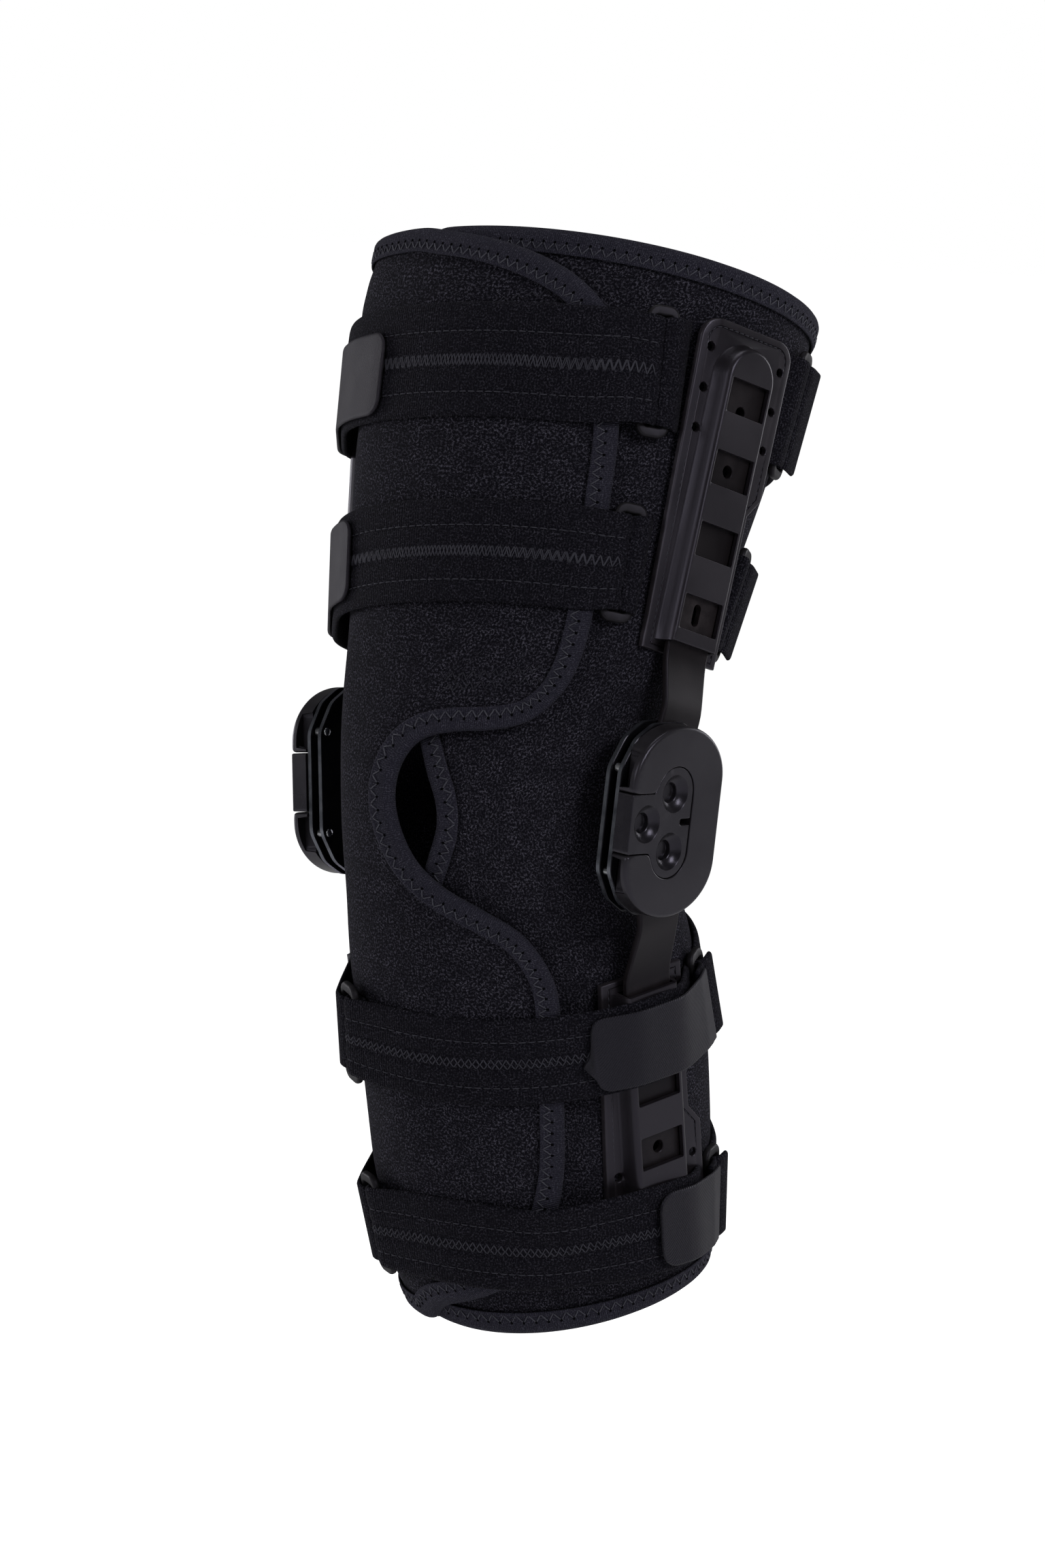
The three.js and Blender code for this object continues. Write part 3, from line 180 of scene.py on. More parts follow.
def column_point(index, z, lift):
    index %= WRAP_TURN
    heights = COLUMN_Z[index]
    j = min(int(np.searchsorted(heights[1:], z)), len(heights) - 2)
    ends = round_form(np.full(2, WRAP_FROM + WRAP_STEP * index, float), heights[j:j + 2], lift)
    share = (z - heights[j]) / (heights[j + 1] - heights[j])
    return ends[0] + (ends[1] - ends[0]) * share


def on_form(angle, z, lift):
    """Point on the worn form as the solid sleeve has it, with flat facets between its columns."""
    place = (angle - WRAP_FROM) / WRAP_STEP
    index = math.floor(place)
    first = column_point(index, z, lift)
    return first + (column_point(index + 1, z, lift) - first) * (place - index)


def angle_of(p):
    s = section(p[2])
    return math.atan2((p[0] - s[0]) / s[2], (s[1] - p[1]) / s[3]) / DEG


def smooth(start, end, value):
    t = np.clip((np.asarray(value, float) - start) / (end - start), 0, 1)
    return t * t * (3 - 2 * t)


def sleeve_lift(turn):
    return FLAP_LIFT * smooth(RAMP[0], RAMP[1], turn)


def hollow(name, turn, z):
    """How far one hollow draws the cloth in, in millimetres; the straps follow the one at the calf."""
    one = HOLLOWS[name]
    depth = one["depth"]
    for start, end in one["heights"]:
        depth = depth * smooth(start, end, z)
    return depth * np.exp(-((np.asarray(turn, float) % 360 - one["middle"]) / one["reach"])**2)


def drawn_in(turn, z):
    """How far the cloth lies inside the round form: at the rim, along the left side and at the calf."""
    return hollow("rim", turn, z) + hollow("side", turn, z) + hollow("calf", turn, z)


def unit(v):
    return v / np.linalg.norm(v)


def unit_rows(rows):
    return rows / np.linalg.norm(rows, axis=1)[:, None]


def between(at, places, rows):
    """Rows of values at new places, between those at the known places."""
    return np.stack([np.interp(at, places, rows[:, k]) for k in range(rows.shape[1])], 1)


# Strap paths: each place has a centre, an upward width direction and an outward direction.

def cloth_top(angle, z):
    """Height of the cloth, the flap and its edge tape off the worn form."""
    a = angle - 360 * round(angle / 360)
    scale = per_degree(a, z)
    p, q = FLAP_EDGE[:-1], FLAP_EDGE[1:]
    first = np.stack([(p[:, 0] - a) * scale, p[:, 1] - z], 1)
    span = np.stack([(q[:, 0] - p[:, 0]) * scale, q[:, 1] - p[:, 1]], 1)
    share = np.clip(-(first * span).sum(1) / (span**2).sum(1), 0, 1)
    nearest = np.linalg.norm(first + span * share[:, None], axis=1).min()
    crossed = (z <= p[:, 1]) & (z > q[:, 1])
    reach = p[:, 0] + (q[:, 0] - p[:, 0]) * (p[:, 1] - z) / np.where(p[:, 1] == q[:, 1], 1, p[:, 1] - q[:, 1])
    inside = a < WRAP_FROM or bool((crossed & (a < reach)).any())
    rim = 2 * (TAPE + TAPE_SEAT)
    drop = float(hollow("calf", a, z))
    if not inside and nearest > rim:
        return drop
    return drop + float(sleeve_lift(a + 360)) + (TAPE + TAPE_SEAT if nearest < TAPE_WIDTH + rim else 0)


# Places across a band where it is laid on the cloth, as shares of its half width.
TOUCH_SHARES = (-1, -0.8, -0.6, -0.3, 0, 0.3, 0.6, 0.8, 1)


def station(plane, angle, width):
    """Place where a flat band of some width lies on the cloth at an angle."""
    before, base, after = (on_form(a, level_at(plane, a), 0) for a in (angle - 1, angle, angle + 1))
    run = unit(after - before)
    rise = on_form(angle, base[2] + 1, 0) - on_form(angle, base[2] - 1, 0)
    up = unit(np.cross(np.cross(run, rise), run))
    touched = []
    for share in TOUCH_SHARES:
        target = base + up * share * width / 2
        a = angle_of(target)
        touched.append(on_form(a, target[2], cloth_top(a, target[2])))
    chord = unit(touched[-1] - touched[0])
    out = unit(np.cross(run, chord))
    centre = (touched[0] + touched[-1]) / 2
    bulge = max(float((p - centre) @ out) for p in touched)
    return dict(angle=angle, centre=centre + out * bulge, up=chord, out=out)


def raised(place, height):
    return {**place, "centre": place["centre"] + place["out"] * height}


def over_channel(plane, channel, height):
    """Places where a flat band crosses the two raised edges of a channel, front edge first."""
    found = []
    for end in (-1, 1):
        x = end * channel["rear"] * (CHANNEL["wall_top"] + SEAT)
        point = channel["origin"] + channel["across"] * x + channel["out"] * (CHANNEL["height"] + height)
        for _ in range(3):
            off = level_at(plane, angle_of(point)) - point[2]
            point = point + channel["along"] * off / channel["along"][2]
        up = channel["along"] * np.sign(channel["along"][2])
        found.append(dict(angle=angle_of(point), centre=point, up=up, out=channel["out"]))
    return found


def taut(places, turn):
    """The places that a tight band touches; turn is +1 for bands that run anticlockwise from above."""
    kept = []
    for place in places:
        while len(kept) > 1:
            p, q, r = kept[-2]["centre"], kept[-1]["centre"], place["centre"]
            if ((q[0] - p[0]) * (r[1] - p[1]) - (q[1] - p[1]) * (r[0] - p[0])) * turn > 0:
                break
            kept.pop()
        kept.append(place)
    return kept


def by_ring(ring, sideways, height):
    return dict(angle=ring["angle"], up=ring["up"], out=ring["out"],
                centre=ring["centre"] + ring["sideways"] * sideways + ring["out"] * height)


def fold_round(ring, bar, radius, start, end, steps=12):
    """Half turn of a band round one bar of a ring."""
    angles = [(start + (end - start) * i / steps) * DEG for i in range(steps + 1)]
    return [by_ring(ring, bar + radius * math.cos(a), radius * math.sin(a)) for a in angles]


def arm_angle(z):
    s = section(z)
    return math.acos((s[1] - LEAN * abs(z)) / s[3]) / DEG


def flange_sag(x):
    return -x * x / (2 * CHANNEL["sag"])


# The share of a channel's length that its frame is measured over, and the step of the measure.
FRAME_SHARE, FRAME_STEP = 0.96, 8


def channel_frame(side, start):
    """Axes of a channel: across, along from the hinge end to the far end, and outwards."""
    far = start + math.copysign(CHANNEL["length"] * FRAME_SHARE, start)
    half = (start + far) / 2
    a = on_form(side * arm_angle(start), start, 0)
    along = unit(on_form(side * arm_angle(far), far, 0) - a)
    middle = side * arm_angle(half)
    across = on_form(middle + 2, half, 0) - on_form(middle - 2, half, 0)
    out = unit(np.cross(across, along))
    if out[0] * side < 0:
        out = -out
    across = unit(np.cross(along, out))
    bulge = 0.0
    for x in (-CHANNEL["front"], -CHANNEL["wall_base"], 0, CHANNEL["wall_base"], CHANNEL["front"]):
        for y in range(0, CHANNEL["length"] + 1, FRAME_STEP):
            under = a + across * x + along * y
            cloth = on_form(angle_of(under), under[2], 0)
            bulge = max(bulge, float((cloth - a) @ out) - flange_sag(x))
    return dict(origin=a + out * (bulge + CHANNEL["seat"]), across=across, along=along, out=out,
                rear=float(np.sign(across[1])))


# Mesh making

def add_piece(name, points, faces, material, slot, stands_for=(), uv=None, sharp=None, edge=None):
    """New piece from points in millimetres, on the brace's one body.

    edge is a second material and the number of last faces that have it."""
    mesh = bpy.data.meshes.new(name)
    mesh.from_pydata((np.asarray(points, float) * MM).tolist(), [], [list(map(int, f)) for f in faces])
    if uv is not None:
        layer = mesh.uv_layers.new(name="cloth")
        loops = np.zeros(len(mesh.loops), np.int32)
        mesh.loops.foreach_get("vertex_index", loops)
        layer.data.foreach_set("uv", (np.asarray(uv, np.float32)[loops] * MM).ravel())
    mesh.polygons.foreach_set("use_smooth", np.ones(len(mesh.polygons), bool))
    mesh.materials.append(material)
    if edge:
        mesh.materials.append(edge[0])
        total = len(mesh.polygons)
        mesh.polygons.foreach_set("material_index", np.arange(total) >= total - edge[1])
    mesh.update()
    if sharp:
        mesh.set_sharp_from_angle(angle=sharp * DEG)
    piece = bpy.data.objects.new(name, mesh)
    bpy.context.scene.collection.objects.link(piece)
    if sharp:
        piece.modifiers.new("even_shading", "WEIGHTED_NORMAL").keep_sharp = True
    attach(piece, "root")
    if stands_for:
        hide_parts(*stands_for)
    return piece


def outward(points, faces):
    """The faces, turned so that they look out of the closed form."""
    volume = 0.0
    for size in {len(f) for f in faces}:
        rows = points[np.array([f for f in faces if len(f) == size])]
        for i in range(1, size - 1):
            volume += (rows[:, 0] * np.cross(rows[:, i], rows[:, i + 1])).sum()
    return faces if volume > 0 else [tuple(reversed(f)) for f in faces]


def sweep_faces(rows, count, closed):
    """Quads between rows of points that are closed rings, with strip caps on open rows."""
    faces = []
    for i in range(rows if closed else rows - 1):
        a, b = i * count, (i + 1) % rows * count
        for j in range(count):
            k = (j + 1) % count
            faces.append((a + j, a + k, b + k, b + j))
    if not closed:
        end = (rows - 1) * count
        for j in range(count // 2 - 1):
            m = count - 1 - j
            faces.append((j, m, m - 1, j + 1))
            faces.append((end + j, end + j + 1, end + m - 1, end + m))
    return faces


def lengths(points):
    """Length along a line up to each of its points."""
    return np.concatenate([[0], np.cumsum(np.linalg.norm(np.diff(points, axis=0), axis=1))])


def resample(points, spacing, *others):
    """Evenly spaced points along a line, with the same shares of other rows; also the lengths."""
    along = lengths(points)
    count = max(int(round(along[-1] / spacing)), 2)
    at = np.linspace(0, along[-1], count + 1)
    return at, [between(at, along, rows) for rows in (points, *others)]


def softened(points, rounds):
    """Open row of points with its kinks eased, its two ends kept."""
    points = points.copy()
    for _ in range(rounds):
        points[1:-1] = points[1:-1] / 2 + (points[:-2] + points[2:]) / 4
    return points


def eased(loop, rounds):
    """Closed row of points or values with its kinks eased."""
    for _ in range(rounds):
        loop = loop / 2 + (np.roll(loop, 1, 0) + np.roll(loop, -1, 0)) / 4
    return loop


def loop_through(corners, spacing, rounds):
    """Closed, evenly spaced line through corners, with the corners eased."""
    corners = np.asarray(corners, float)
    return eased(resample(np.vstack([corners, corners[:1]]), spacing)[1][0][:-1], rounds)


def inner_normals(loop):
    step = unit_rows(np.roll(loop, -1, 0) - np.roll(loop, 1, 0))
    turn = np.roll(loop, -1, 0)
    area = (loop[:, 0] * turn[:, 1] - loop[:, 1] * turn[:, 0]).sum()
    return np.stack([-step[:, 1], step[:, 0]], 1) * np.sign(area)


def within(points, loop):
    """Which points lie inside a closed flat line."""
    crossings = np.zeros(len(points), int)
    for p, q in zip(loop, np.roll(loop, -1, 0)):
        hit = (p[1] > points[:, 1]) != (q[1] > points[:, 1])
        if hit.any():
            reach = p[0] + (q[0] - p[0]) * (points[:, 1] - p[1]) / (q[1] - p[1] or 1)
            crossings += hit & (points[:, 0] < reach)
    return crossings % 2 == 1


def with_heights(plan, top, bottom):
    return np.column_stack([plan, np.broadcast_to(top, len(plan)), np.broadcast_to(bottom, len(plan))])


def terrace(loops, lines=(), holes=()):
    """Closed form over a plan, and the number of its side faces, which come last.

    Rows hold x, y, top and bottom; the first loop is the outline."""
    rows, edges, start = [], [], 0
    for group, closed in ((loops, True), (lines, False), (holes, True)):
        for row in group:
            n = len(row)
            edges += [(start + i, start + (i + 1) % n) for i in range(n if closed else n - 1)]
            start += n
            rows.append(row)
    data = np.vstack(rows)
    verts, _, faces, origin, _, _ = delaunay_2d_cdt(
        [Vector(p) for p in data[:, :2]], edges, [list(range(len(loops[0])))], 1, 1e-5)
    plan = np.array(verts)[:, :2]
    nearest = [o[0] if o else int(((data[:, :2] - q)**2).sum(1).argmin()) for o, q in zip(origin, plan)]
    data = np.column_stack([plan, data[nearest, 2:]])
    faces = np.array([tuple(f) for f in faces])
    middle = data[faces, :2].mean(1)
    dropped = np.zeros(len(faces), bool)
    for hole in holes:
        dropped |= within(middle, hole[:, :2])
    faces = faces[~dropped]
    used, faces = np.unique(faces, return_inverse=True)
    faces, data = faces.reshape(-1, 3), data[used]
    directed = {(a, b) for f in faces.tolist() for a, b in zip(f, f[1:] + f[:1])}
    sides = [(b, a, len(data) + a, len(data) + b) for a, b in directed if (b, a) not in directed]
    sides.sort()
    top, bottom = data[:, [0, 1, 2]], data[:, [0, 1, 3]]
    faces = [tuple(f) for f in faces.tolist()]
    under = [tuple(len(data) + i for i in reversed(f)) for f in faces]
    return np.vstack([top, bottom]), faces + under + sides, len(sides)


def circle(x, y, radius, count=28):
    a = np.arange(count) * 2 * math.pi / count
    return np.stack([x + radius * np.cos(a), y + radius * np.sin(a)], 1)


def turned(profile, count=28):
    """Turned form: profile rows are radius and height, from end to end."""
    profile = np.array(profile, float)
    a = np.arange(count) * 2 * math.pi / count
    points = np.stack(np.broadcast_arrays(profile[:, None, 0] * np.cos(a), profile[:, None, 0] * np.sin(a),
                                          profile[:, None, 1]), -1).reshape(-1, 3)
    faces = []
    for i in range(len(profile) - 1):
        for j in range(count):
            k = (j + 1) % count
            faces.append((i * count + j, i * count + k, (i + 1) * count + k, (i + 1) * count + j))
    last = (len(profile) - 1) * count
    faces.append(tuple(range(count - 1, -1, -1)))
    faces.append(tuple(range(last, last + count)))
    return points, faces


def placed(points, axes, shift=(0, 0, 0)):
    p = np.asarray(points, float) + np.array(shift)
    return axes["origin"] + p[:, :1] * axes["across"] + p[:, 1:2] * axes["along"] + p[:, 2:] * axes["out"]


def add_placed(name, form, axes, material, slot, node, shift=(0, 0, 0), **more):
    """New piece from a form's points and faces, given in the axes of its place on the brace."""
    points = placed(form[0], axes, shift)
    return add_piece(name, points, outward(points, form[1]), material, slot, [node], **more)


def joined(forms):
    """Several point and face lists as one."""
    points, faces, start = [], [], 0
    for p, f in forms:
        points.append(p)
        faces += [tuple(start + i for i in face) for face in f]
        start += len(p)
    return np.vstack(points), faces


# Rows along one thread: share of its length, height and share of its radius; corners of its section.
THREAD_ROWS = ((0.0, -0.30, 0.55), (0.2, 0.10, 1.0), (0.8, 0.10, 1.0), (1.0, -0.30, 0.55))
THREAD_SIDES = 5


def thread_stitches(first, last, normal, radius=0.26):
    """Points and faces of short arched threads from first points to last points."""
    first, last, normal = (np.asarray(r, float) for r in (first, last, normal))
    side = unit_rows(np.cross(normal, last - first))
    n = THREAD_SIDES
    a = 2 * math.pi * (np.arange(n) + 0.5) / n
    rows = []
    for t, height, r in THREAD_ROWS:
        centre = first + (last - first) * t + normal * height
        rows.append(centre[:, None, :] + (side[:, None, :] * np.cos(a)[None, :, None]
                                          + normal[:, None, :] * np.sin(a)[None, :, None]) * radius * r)
    points = np.stack(rows, 1).reshape(-1, 3)
    ends = len(THREAD_ROWS) - 1
    one = [(n * i + j, n * i + (j + 1) % n, n * i + n + (j + 1) % n, n * i + n + j)
           for i in range(ends) for j in range(n)]
    one += [tuple(range(n - 1, -1, -1)), tuple(range(ends * n, ends * n + n))]
    faces = [tuple(len(THREAD_ROWS) * n * s + i for i in f) for s in range(len(first)) for f in one]
    if (np.cross(side[0], normal[0]) * (last[0] - first[0])).sum() < 0:
        faces = [tuple(reversed(f)) for f in faces]
    return points, faces


# Sleeve and edge tape

# Millimetres to a degree of turn on the flat cloth, with height kept as it is.
CLOTH_SCALE = 1.45
FLAT_SIZE = np.array([CLOTH_SCALE, 1.0])
# Spacing along the panel's edge and inside it, the height of a triangle row, and the space kept at the rim.
EDGE_SPACING, MESH_PITCH, ROW_SHARE, RIM_SPACE = 2.2, 3.1, 0.866, 1.5
# Step in degrees along the rims, and the height near the rims that the hidden edge leaves free.
RIM_STEP = 3.0
CORNER_CLEAR = 4
# Degrees between the rims and the flap's edge, at the top and at the bottom.
RIM_JOINS = (3, 5)
# Waves of the worn cloth: height, waves in a turn, slant and start.
WAVES = ((0.30, 3, 23, 0.0), (0.22, 7, -17, 1.3), (0.18, 11, 31, 0.4))
# Creases at the bend, the press of a strap on the cloth, and the padding's rise beside the tape.
CREASES = dict(height=0.20, spacing=9.5, sway=2.2, reach=(60, 10))
STRAP_PRESS = 0.45
PADDING = 0.5
# Widths beside the tape over which the cloth comes free of it, from a little under its edge, and fills out.
FREE_FROM, FREE_OVER, PADDING_OVER = 1, 8, 3
# Edge tape: start and reach of its fold, its sunk seam line, and the drop at its cut edge.
TAPE_FOLD = dict(start=1.2, reach=2.7, turn=80)
TAPE_DENT = dict(depth=0.32, at=5.6, spread=1.5)
TAPE_CUT = dict(drop=0.16, width=0.5)
# Places on the tape's inner face: two on each side, and the crease between the sides.
TAPE_LINING, TAPE_CREASE = (5.0, 1.0), 0.1
# Height of the tape's outer face off the middle of the cloth.
TAPE_HEIGHT = CLOTH / 2 + TAPE_SEAT + TAPE
# A height off the cloth that gives the direction of stitches.
OFF_CLOTH = 5.0
# Zigzag on the tape: pitch, distances in from the edge, seat and radius; near-black discs of painted shade
# for the stitch dents at its outer ends.
TAPE_ZIGZAG = dict(pitch=2.5, lines=(3.9, 7.4), middle=5.5, seat=0.05, radius=0.3)
DENT_SHADE_DISC = dict(reach=(-1.0, 0.8), sink=0.40, radius=0.65)
# Ends of the stitched rows on the flap: angle and height. Each is two zigzags, one below the other.
FLAP_SEAMS = (((15, 55), (43, 61)), ((15, 209), (33, 216.5)))
FLAP_ROWS = (0.0, 4.6)
FLAP_ZIGZAG = dict(half=1.6, degrees=1.467, seat=0.1)


def spline(points, spacing):
    """Smooth line through points of the flat cloth, as turns and heights."""
    p = np.vstack([2 * points[0] - points[1], points, 2 * points[-1] - points[-2]])
    rows = []
    for i in range(1, len(p) - 2):
        t = np.linspace(0, 1, 16, endpoint=False)[:, None]
        d0, d1, d2 = (max(np.linalg.norm((p[k + 1] - p[k]) * FLAT_SIZE), 1e-6) for k in (i - 1, i, i + 1))
        m1 = ((p[i + 1] - p[i]) / d1 * d0 + (p[i] - p[i - 1]) / d0 * d1) / (d0 + d1) * d1
        m2 = ((p[i + 2] - p[i + 1]) / d2 * d1 + (p[i + 1] - p[i]) / d1 * d2) / (d1 + d2) * d1
        rows.append(p[i] * (2 * t**3 - 3 * t**2 + 1) + m1 * (t**3 - 2 * t**2 + t)
                    + p[i + 1] * (3 * t**2 - 2 * t**3) + m2 * (t**3 - t**2))
    line = np.vstack(rows + [points[-1:]])
    return resample(line * FLAT_SIZE, spacing)[1][0] / FLAT_SIZE


def panel_outline(spacing):
    """Closed edge line of the cloth panel as turns and heights."""
    flap = FLAP_EDGE[2:-1]
    first, last = flap[0, 0] + 360, flap[-1, 0] + 360
    start, foot = PANEL_EDGE[0, 0], PANEL_EDGE[-1, 0]
    top = np.arange(start, first - RIM_JOINS[0], RIM_STEP)
    bottom = np.arange(last - RIM_JOINS[1], foot, -RIM_STEP)
    hidden = spline(PANEL_EDGE[::-1], spacing)
    low, high = level_at(BOTTOM_RIM, foot), level_at(TOP_RIM, start)
    line = [np.stack([top, level_at(TOP_RIM, top)], 1), spline(flap, spacing) + [360, 0],
            np.stack([bottom, level_at(BOTTOM_RIM, bottom)], 1), np.array([[foot, low]]),
            hidden[(hidden[:, 1] > low + CORNER_CLEAR) & (hidden[:, 1] < high - CORNER_CLEAR)],
            np.array([[start, high]])]
    return eased(resample(np.vstack(line) * FLAT_SIZE, spacing)[1][0][:-1], 4) / FLAT_SIZE


def ripple(turn, z):
    """Soft unevenness of the worn cloth, in millimetres."""
    a = turn * DEG
    out = sum(height * np.sin(count * a + z / slant + start) for height, count, slant, start in WAVES)
    c = CREASES
    out += c["height"] * np.sin(z / c["spacing"] + c["sway"] * np.sin(2 * a)) * smooth(*c["reach"], np.abs(z))
    for set_ in STRAPS.values():
        off = (z - level_at(set_["plane"], turn)) / (set_["width"] / 2)
        out -= STRAP_PRESS * np.exp(-off**4)
    return out


def make_panel(outline, look):
    """Padded cloth inside its edge line: an outer and an inner face, joined round the edge."""
    loop = outline * FLAT_SIZE
    count = len(loop)
    low, high = loop.min(0), loop.max(0)
    inner = []
    for i, z in enumerate(np.arange(low[1], high[1], MESH_PITCH * ROW_SHARE)):
        x = np.arange(low[0] + (i % 2) * MESH_PITCH / 2, high[0], MESH_PITCH)
        inner.append(np.stack([x, np.full(len(x), z)], 1))
    inner = np.vstack(inner)
    inner = inner[within(inner, loop)]
    rim = KDTree(count)
    for i, p in enumerate(loop):
        rim.insert((*p, 0), i)
    rim.balance()
    inner = inner[np.array([rim.find((*p, 0))[2] for p in inner]) > RIM_SPACE]
    verts, _, faces, origin, _, _ = delaunay_2d_cdt(
        [Vector(p) for p in np.vstack([loop, inner])], [], [list(range(count))], 1, 1e-6)
    flat = np.array(verts)[:, :2]
    away = np.array([rim.find((*p, 0))[2] for p in flat])
    turn, z = (flat / FLAT_SIZE).T
    edge_of = {k: i for i, o in enumerate(origin) for k in o if k < count}
    free = smooth(TAPE_WIDTH - FREE_FROM, TAPE_WIDTH + FREE_OVER, away)
    padded = PADDING * smooth(TAPE_WIDTH, TAPE_WIDTH + PADDING_OVER, away)
    lift = sleeve_lift(turn) + free * (ripple(turn, z) + padded)
    pinch = drawn_in(turn, z)
    points = np.vstack([round_form(turn, z, lift + pinch),
                        round_form(turn, z, sleeve_lift(turn) - CLOTH + pinch)])
    total = len(flat)
    faces = [tuple(f) for f in faces]
    shell = faces + [tuple(total + i for i in reversed(f)) for f in faces]
    ring = [edge_of[k] for k in range(count)]
    for a, b in zip(ring, ring[1:] + ring[:1]):
        shell.append((b, a, total + a, total + b))
    return add_piece("sleeve_cloth", points, outward(points, shell), look["cloth"], "sleeve_cloth",
                     ["sleeve"], np.vstack([flat, flat]))


def beside_edge(outline):
    """Function that gives points beside the panel's edge line."""
    scale = per_degree(outline[:, 0], outline[:, 1])
    step = np.roll(outline, -1, 0) - np.roll(outline, 1, 0)
    step[:, 0] *= scale
    step = unit_rows(step)
    inward = np.stack([step[:, 1], -step[:, 0]], 1)
    mid = sleeve_lift(outline[:, 0]) - CLOTH / 2

    def points_at(x, h):
        """A row of points for each place, at distances from the edge and heights off the cloth's middle."""
        x, h = (np.atleast_2d(v) for v in (x, h))
        turn = outline[:, None, 0] + x * inward[:, None, 0] / scale[:, None]
        z = outline[:, None, 1] + x * inward[:, None, 1]
        return round_form(turn, z, mid[:, None] + h + drawn_in(turn, z))

    return points_at


def make_tape(tape_point, look):
    """Folded strip with one side on each face of the cloth, and the lengths along it."""
    reach, bend = TAPE_WIDTH, TAPE_HEIGHT
    face = []
    for x in np.linspace(reach, TAPE_FOLD["start"], 14):
        dent = TAPE_DENT["depth"] * math.exp(-((x - TAPE_DENT["at"]) / TAPE_DENT["spread"])**2)
        face.append((x, bend - dent - TAPE_CUT["drop"] * (x > reach - TAPE_CUT["width"])))
    fold = [(TAPE_FOLD["start"] - TAPE_FOLD["reach"] * math.cos(a * DEG), bend * math.sin(a * DEG))
            for a in np.linspace(TAPE_FOLD["turn"], -TAPE_FOLD["turn"], 9)]
    under = bend - TAPE
    inside = [(x, under) for x in (reach, *TAPE_LINING)]
    profile = np.array([*face, *fold, *((x, -h) for x, h in reversed(face)), *((x, -h) for x, h in inside),
                        (TAPE_CREASE, 0.0), *reversed(inside)])
    points = tape_point(profile[:, 0], profile[:, 1]).reshape(-1, 3)
    length, around = lengths(tape_point(0, 0)[:, 0]), lengths(profile)
    uv = np.stack(np.broadcast_arrays(length[:, None], around[None, :]), -1).reshape(-1, 2)
    faces = outward(points, sweep_faces(len(length), len(profile), True))
    return add_piece("edge_tape_fold", points, faces, look["tape"], "edge_tape", ["edge_tape"], uv), length


def sew_tape(tape_point, length, look):
    """Zigzag stitches on both sides of the tape, and near-black discs of painted shade for the stitch dents
    on its outer side.
    """
    rows = []
    zigzag = TAPE_ZIGZAG
    marks = np.arange(0, length[-1], zigzag["pitch"])
    for side in (1, -1):
        ends = [between(marks, length, tape_point(x, side * (TAPE_HEIGHT - zigzag["seat"]))[:, 0])
                for x in zigzag["lines"]]
        off = (tape_point(zigzag["middle"], side * OFF_CLOTH) - tape_point(zigzag["middle"], 0))[:, 0]
        normal = unit_rows(between(marks, length, off))
        zig = np.where((np.arange(len(marks)) % 2 == 0)[:, None], ends[0], ends[1])
        rows.append((zig[:-1], zig[1:], normal[:-1]))
        if side > 0:
            # Painted shade: near-black discs sunk into the tape at the zigzag's outer ends stand for the
            # shade in the stitch dents.
            across = unit_rows(ends[1] - ends[0])
            sunk = normal * DENT_SHADE_DISC["sink"]
            disc_ends = [(ends[0] + across * x - sunk)[::2] for x in DENT_SHADE_DISC["reach"]]
            shade_discs = thread_stitches(*disc_ends, normal[::2], radius=DENT_SHADE_DISC["radius"])
    points, faces = thread_stitches(*(np.vstack(r) for r in zip(*rows)), radius=zigzag["radius"])
    return [add_piece("edge_tape_stitches", points, faces, look["tape_thread"], "edge_tape"),
            add_piece("edge_tape_dent_shade", *shade_discs, look["painted_dent_shade"], "edge_tape")]


def sew_flap(look):
    """Zigzag rows through the flap, where a fastening is sewn on behind."""
    rows = []
    for first, last in FLAP_SEAMS:
        for drop in FLAP_ROWS:
            share = np.linspace(0, 1, int((last[0] - first[0]) / FLAP_ZIGZAG["degrees"]))
            turn = first[0] + (last[0] - first[0]) * share + 360
            swing = FLAP_ZIGZAG["half"] * np.where(np.arange(len(share)) % 2, 1, -1)
            z = first[1] + (last[1] - first[1]) * share - drop + swing
            base = sleeve_lift(turn) + PADDING + ripple(turn, z)
            foot, head = (round_form(turn, z, base + h) for h in (FLAP_ZIGZAG["seat"], OFF_CLOTH))
            rows.append((foot[:-1], foot[1:], unit_rows(head - foot)[:-1]))
    points, faces = thread_stitches(*(np.vstack(r) for r in zip(*rows)))
    return add_piece("flap_stitches", points, faces, look["flap_thread"], "sleeve_cloth")


# Bands

# Distances from a band's ends between which it starts to be eased, in lengths of the easing.
CALM_FROM, CALM_FULL = 2.5, 4.5


def band_frames(places, spacing, rounds, calm):
    """Evenly spaced places along a band; calm is the length over which its middle is eased."""
    centre, up, out = (np.array([p[k] for p in places]) for k in ("centre", "up", "out"))
    at, (centre, up, out) = resample(centre, spacing, up, out)
    centre, up = softened(centre, rounds), softened(up, rounds)
    if calm:
        many = int(2 * (calm / spacing)**2)
        away = smooth(calm * CALM_FROM, calm * CALM_FULL, np.minimum(at, at[-1] - at))[:, None]
        centre = centre + (softened(centre, many) - centre) * away
        up = softened(up, many)
    return at, centre, unit_rows(up), out


# Places across a band as shares of its half width, at its rounded edge and between the edges; then the
# rounding's width as a share of its thickness.
BAND_EDGE = np.array([1.0, 0.995, 0.975, 0.945, 0.9])
BAND_FLAT = np.linspace(-0.86, 0.86, 45)
BAND_ROUND = 0.75
# Sunk seams: depth and width, and the crown between them with the width over which it rises.
SEAM_DEPTH, SEAM_WIDTH = 0.5, 1.0
CROWN, CROWN_RISE = 0.34, 3
# A band narrows toward a ring over this length, at most this share of it, most of it near the ring.
NECK_REACH, NECK_SHARE, NECK_FULL = 35, 0.8, 0.3


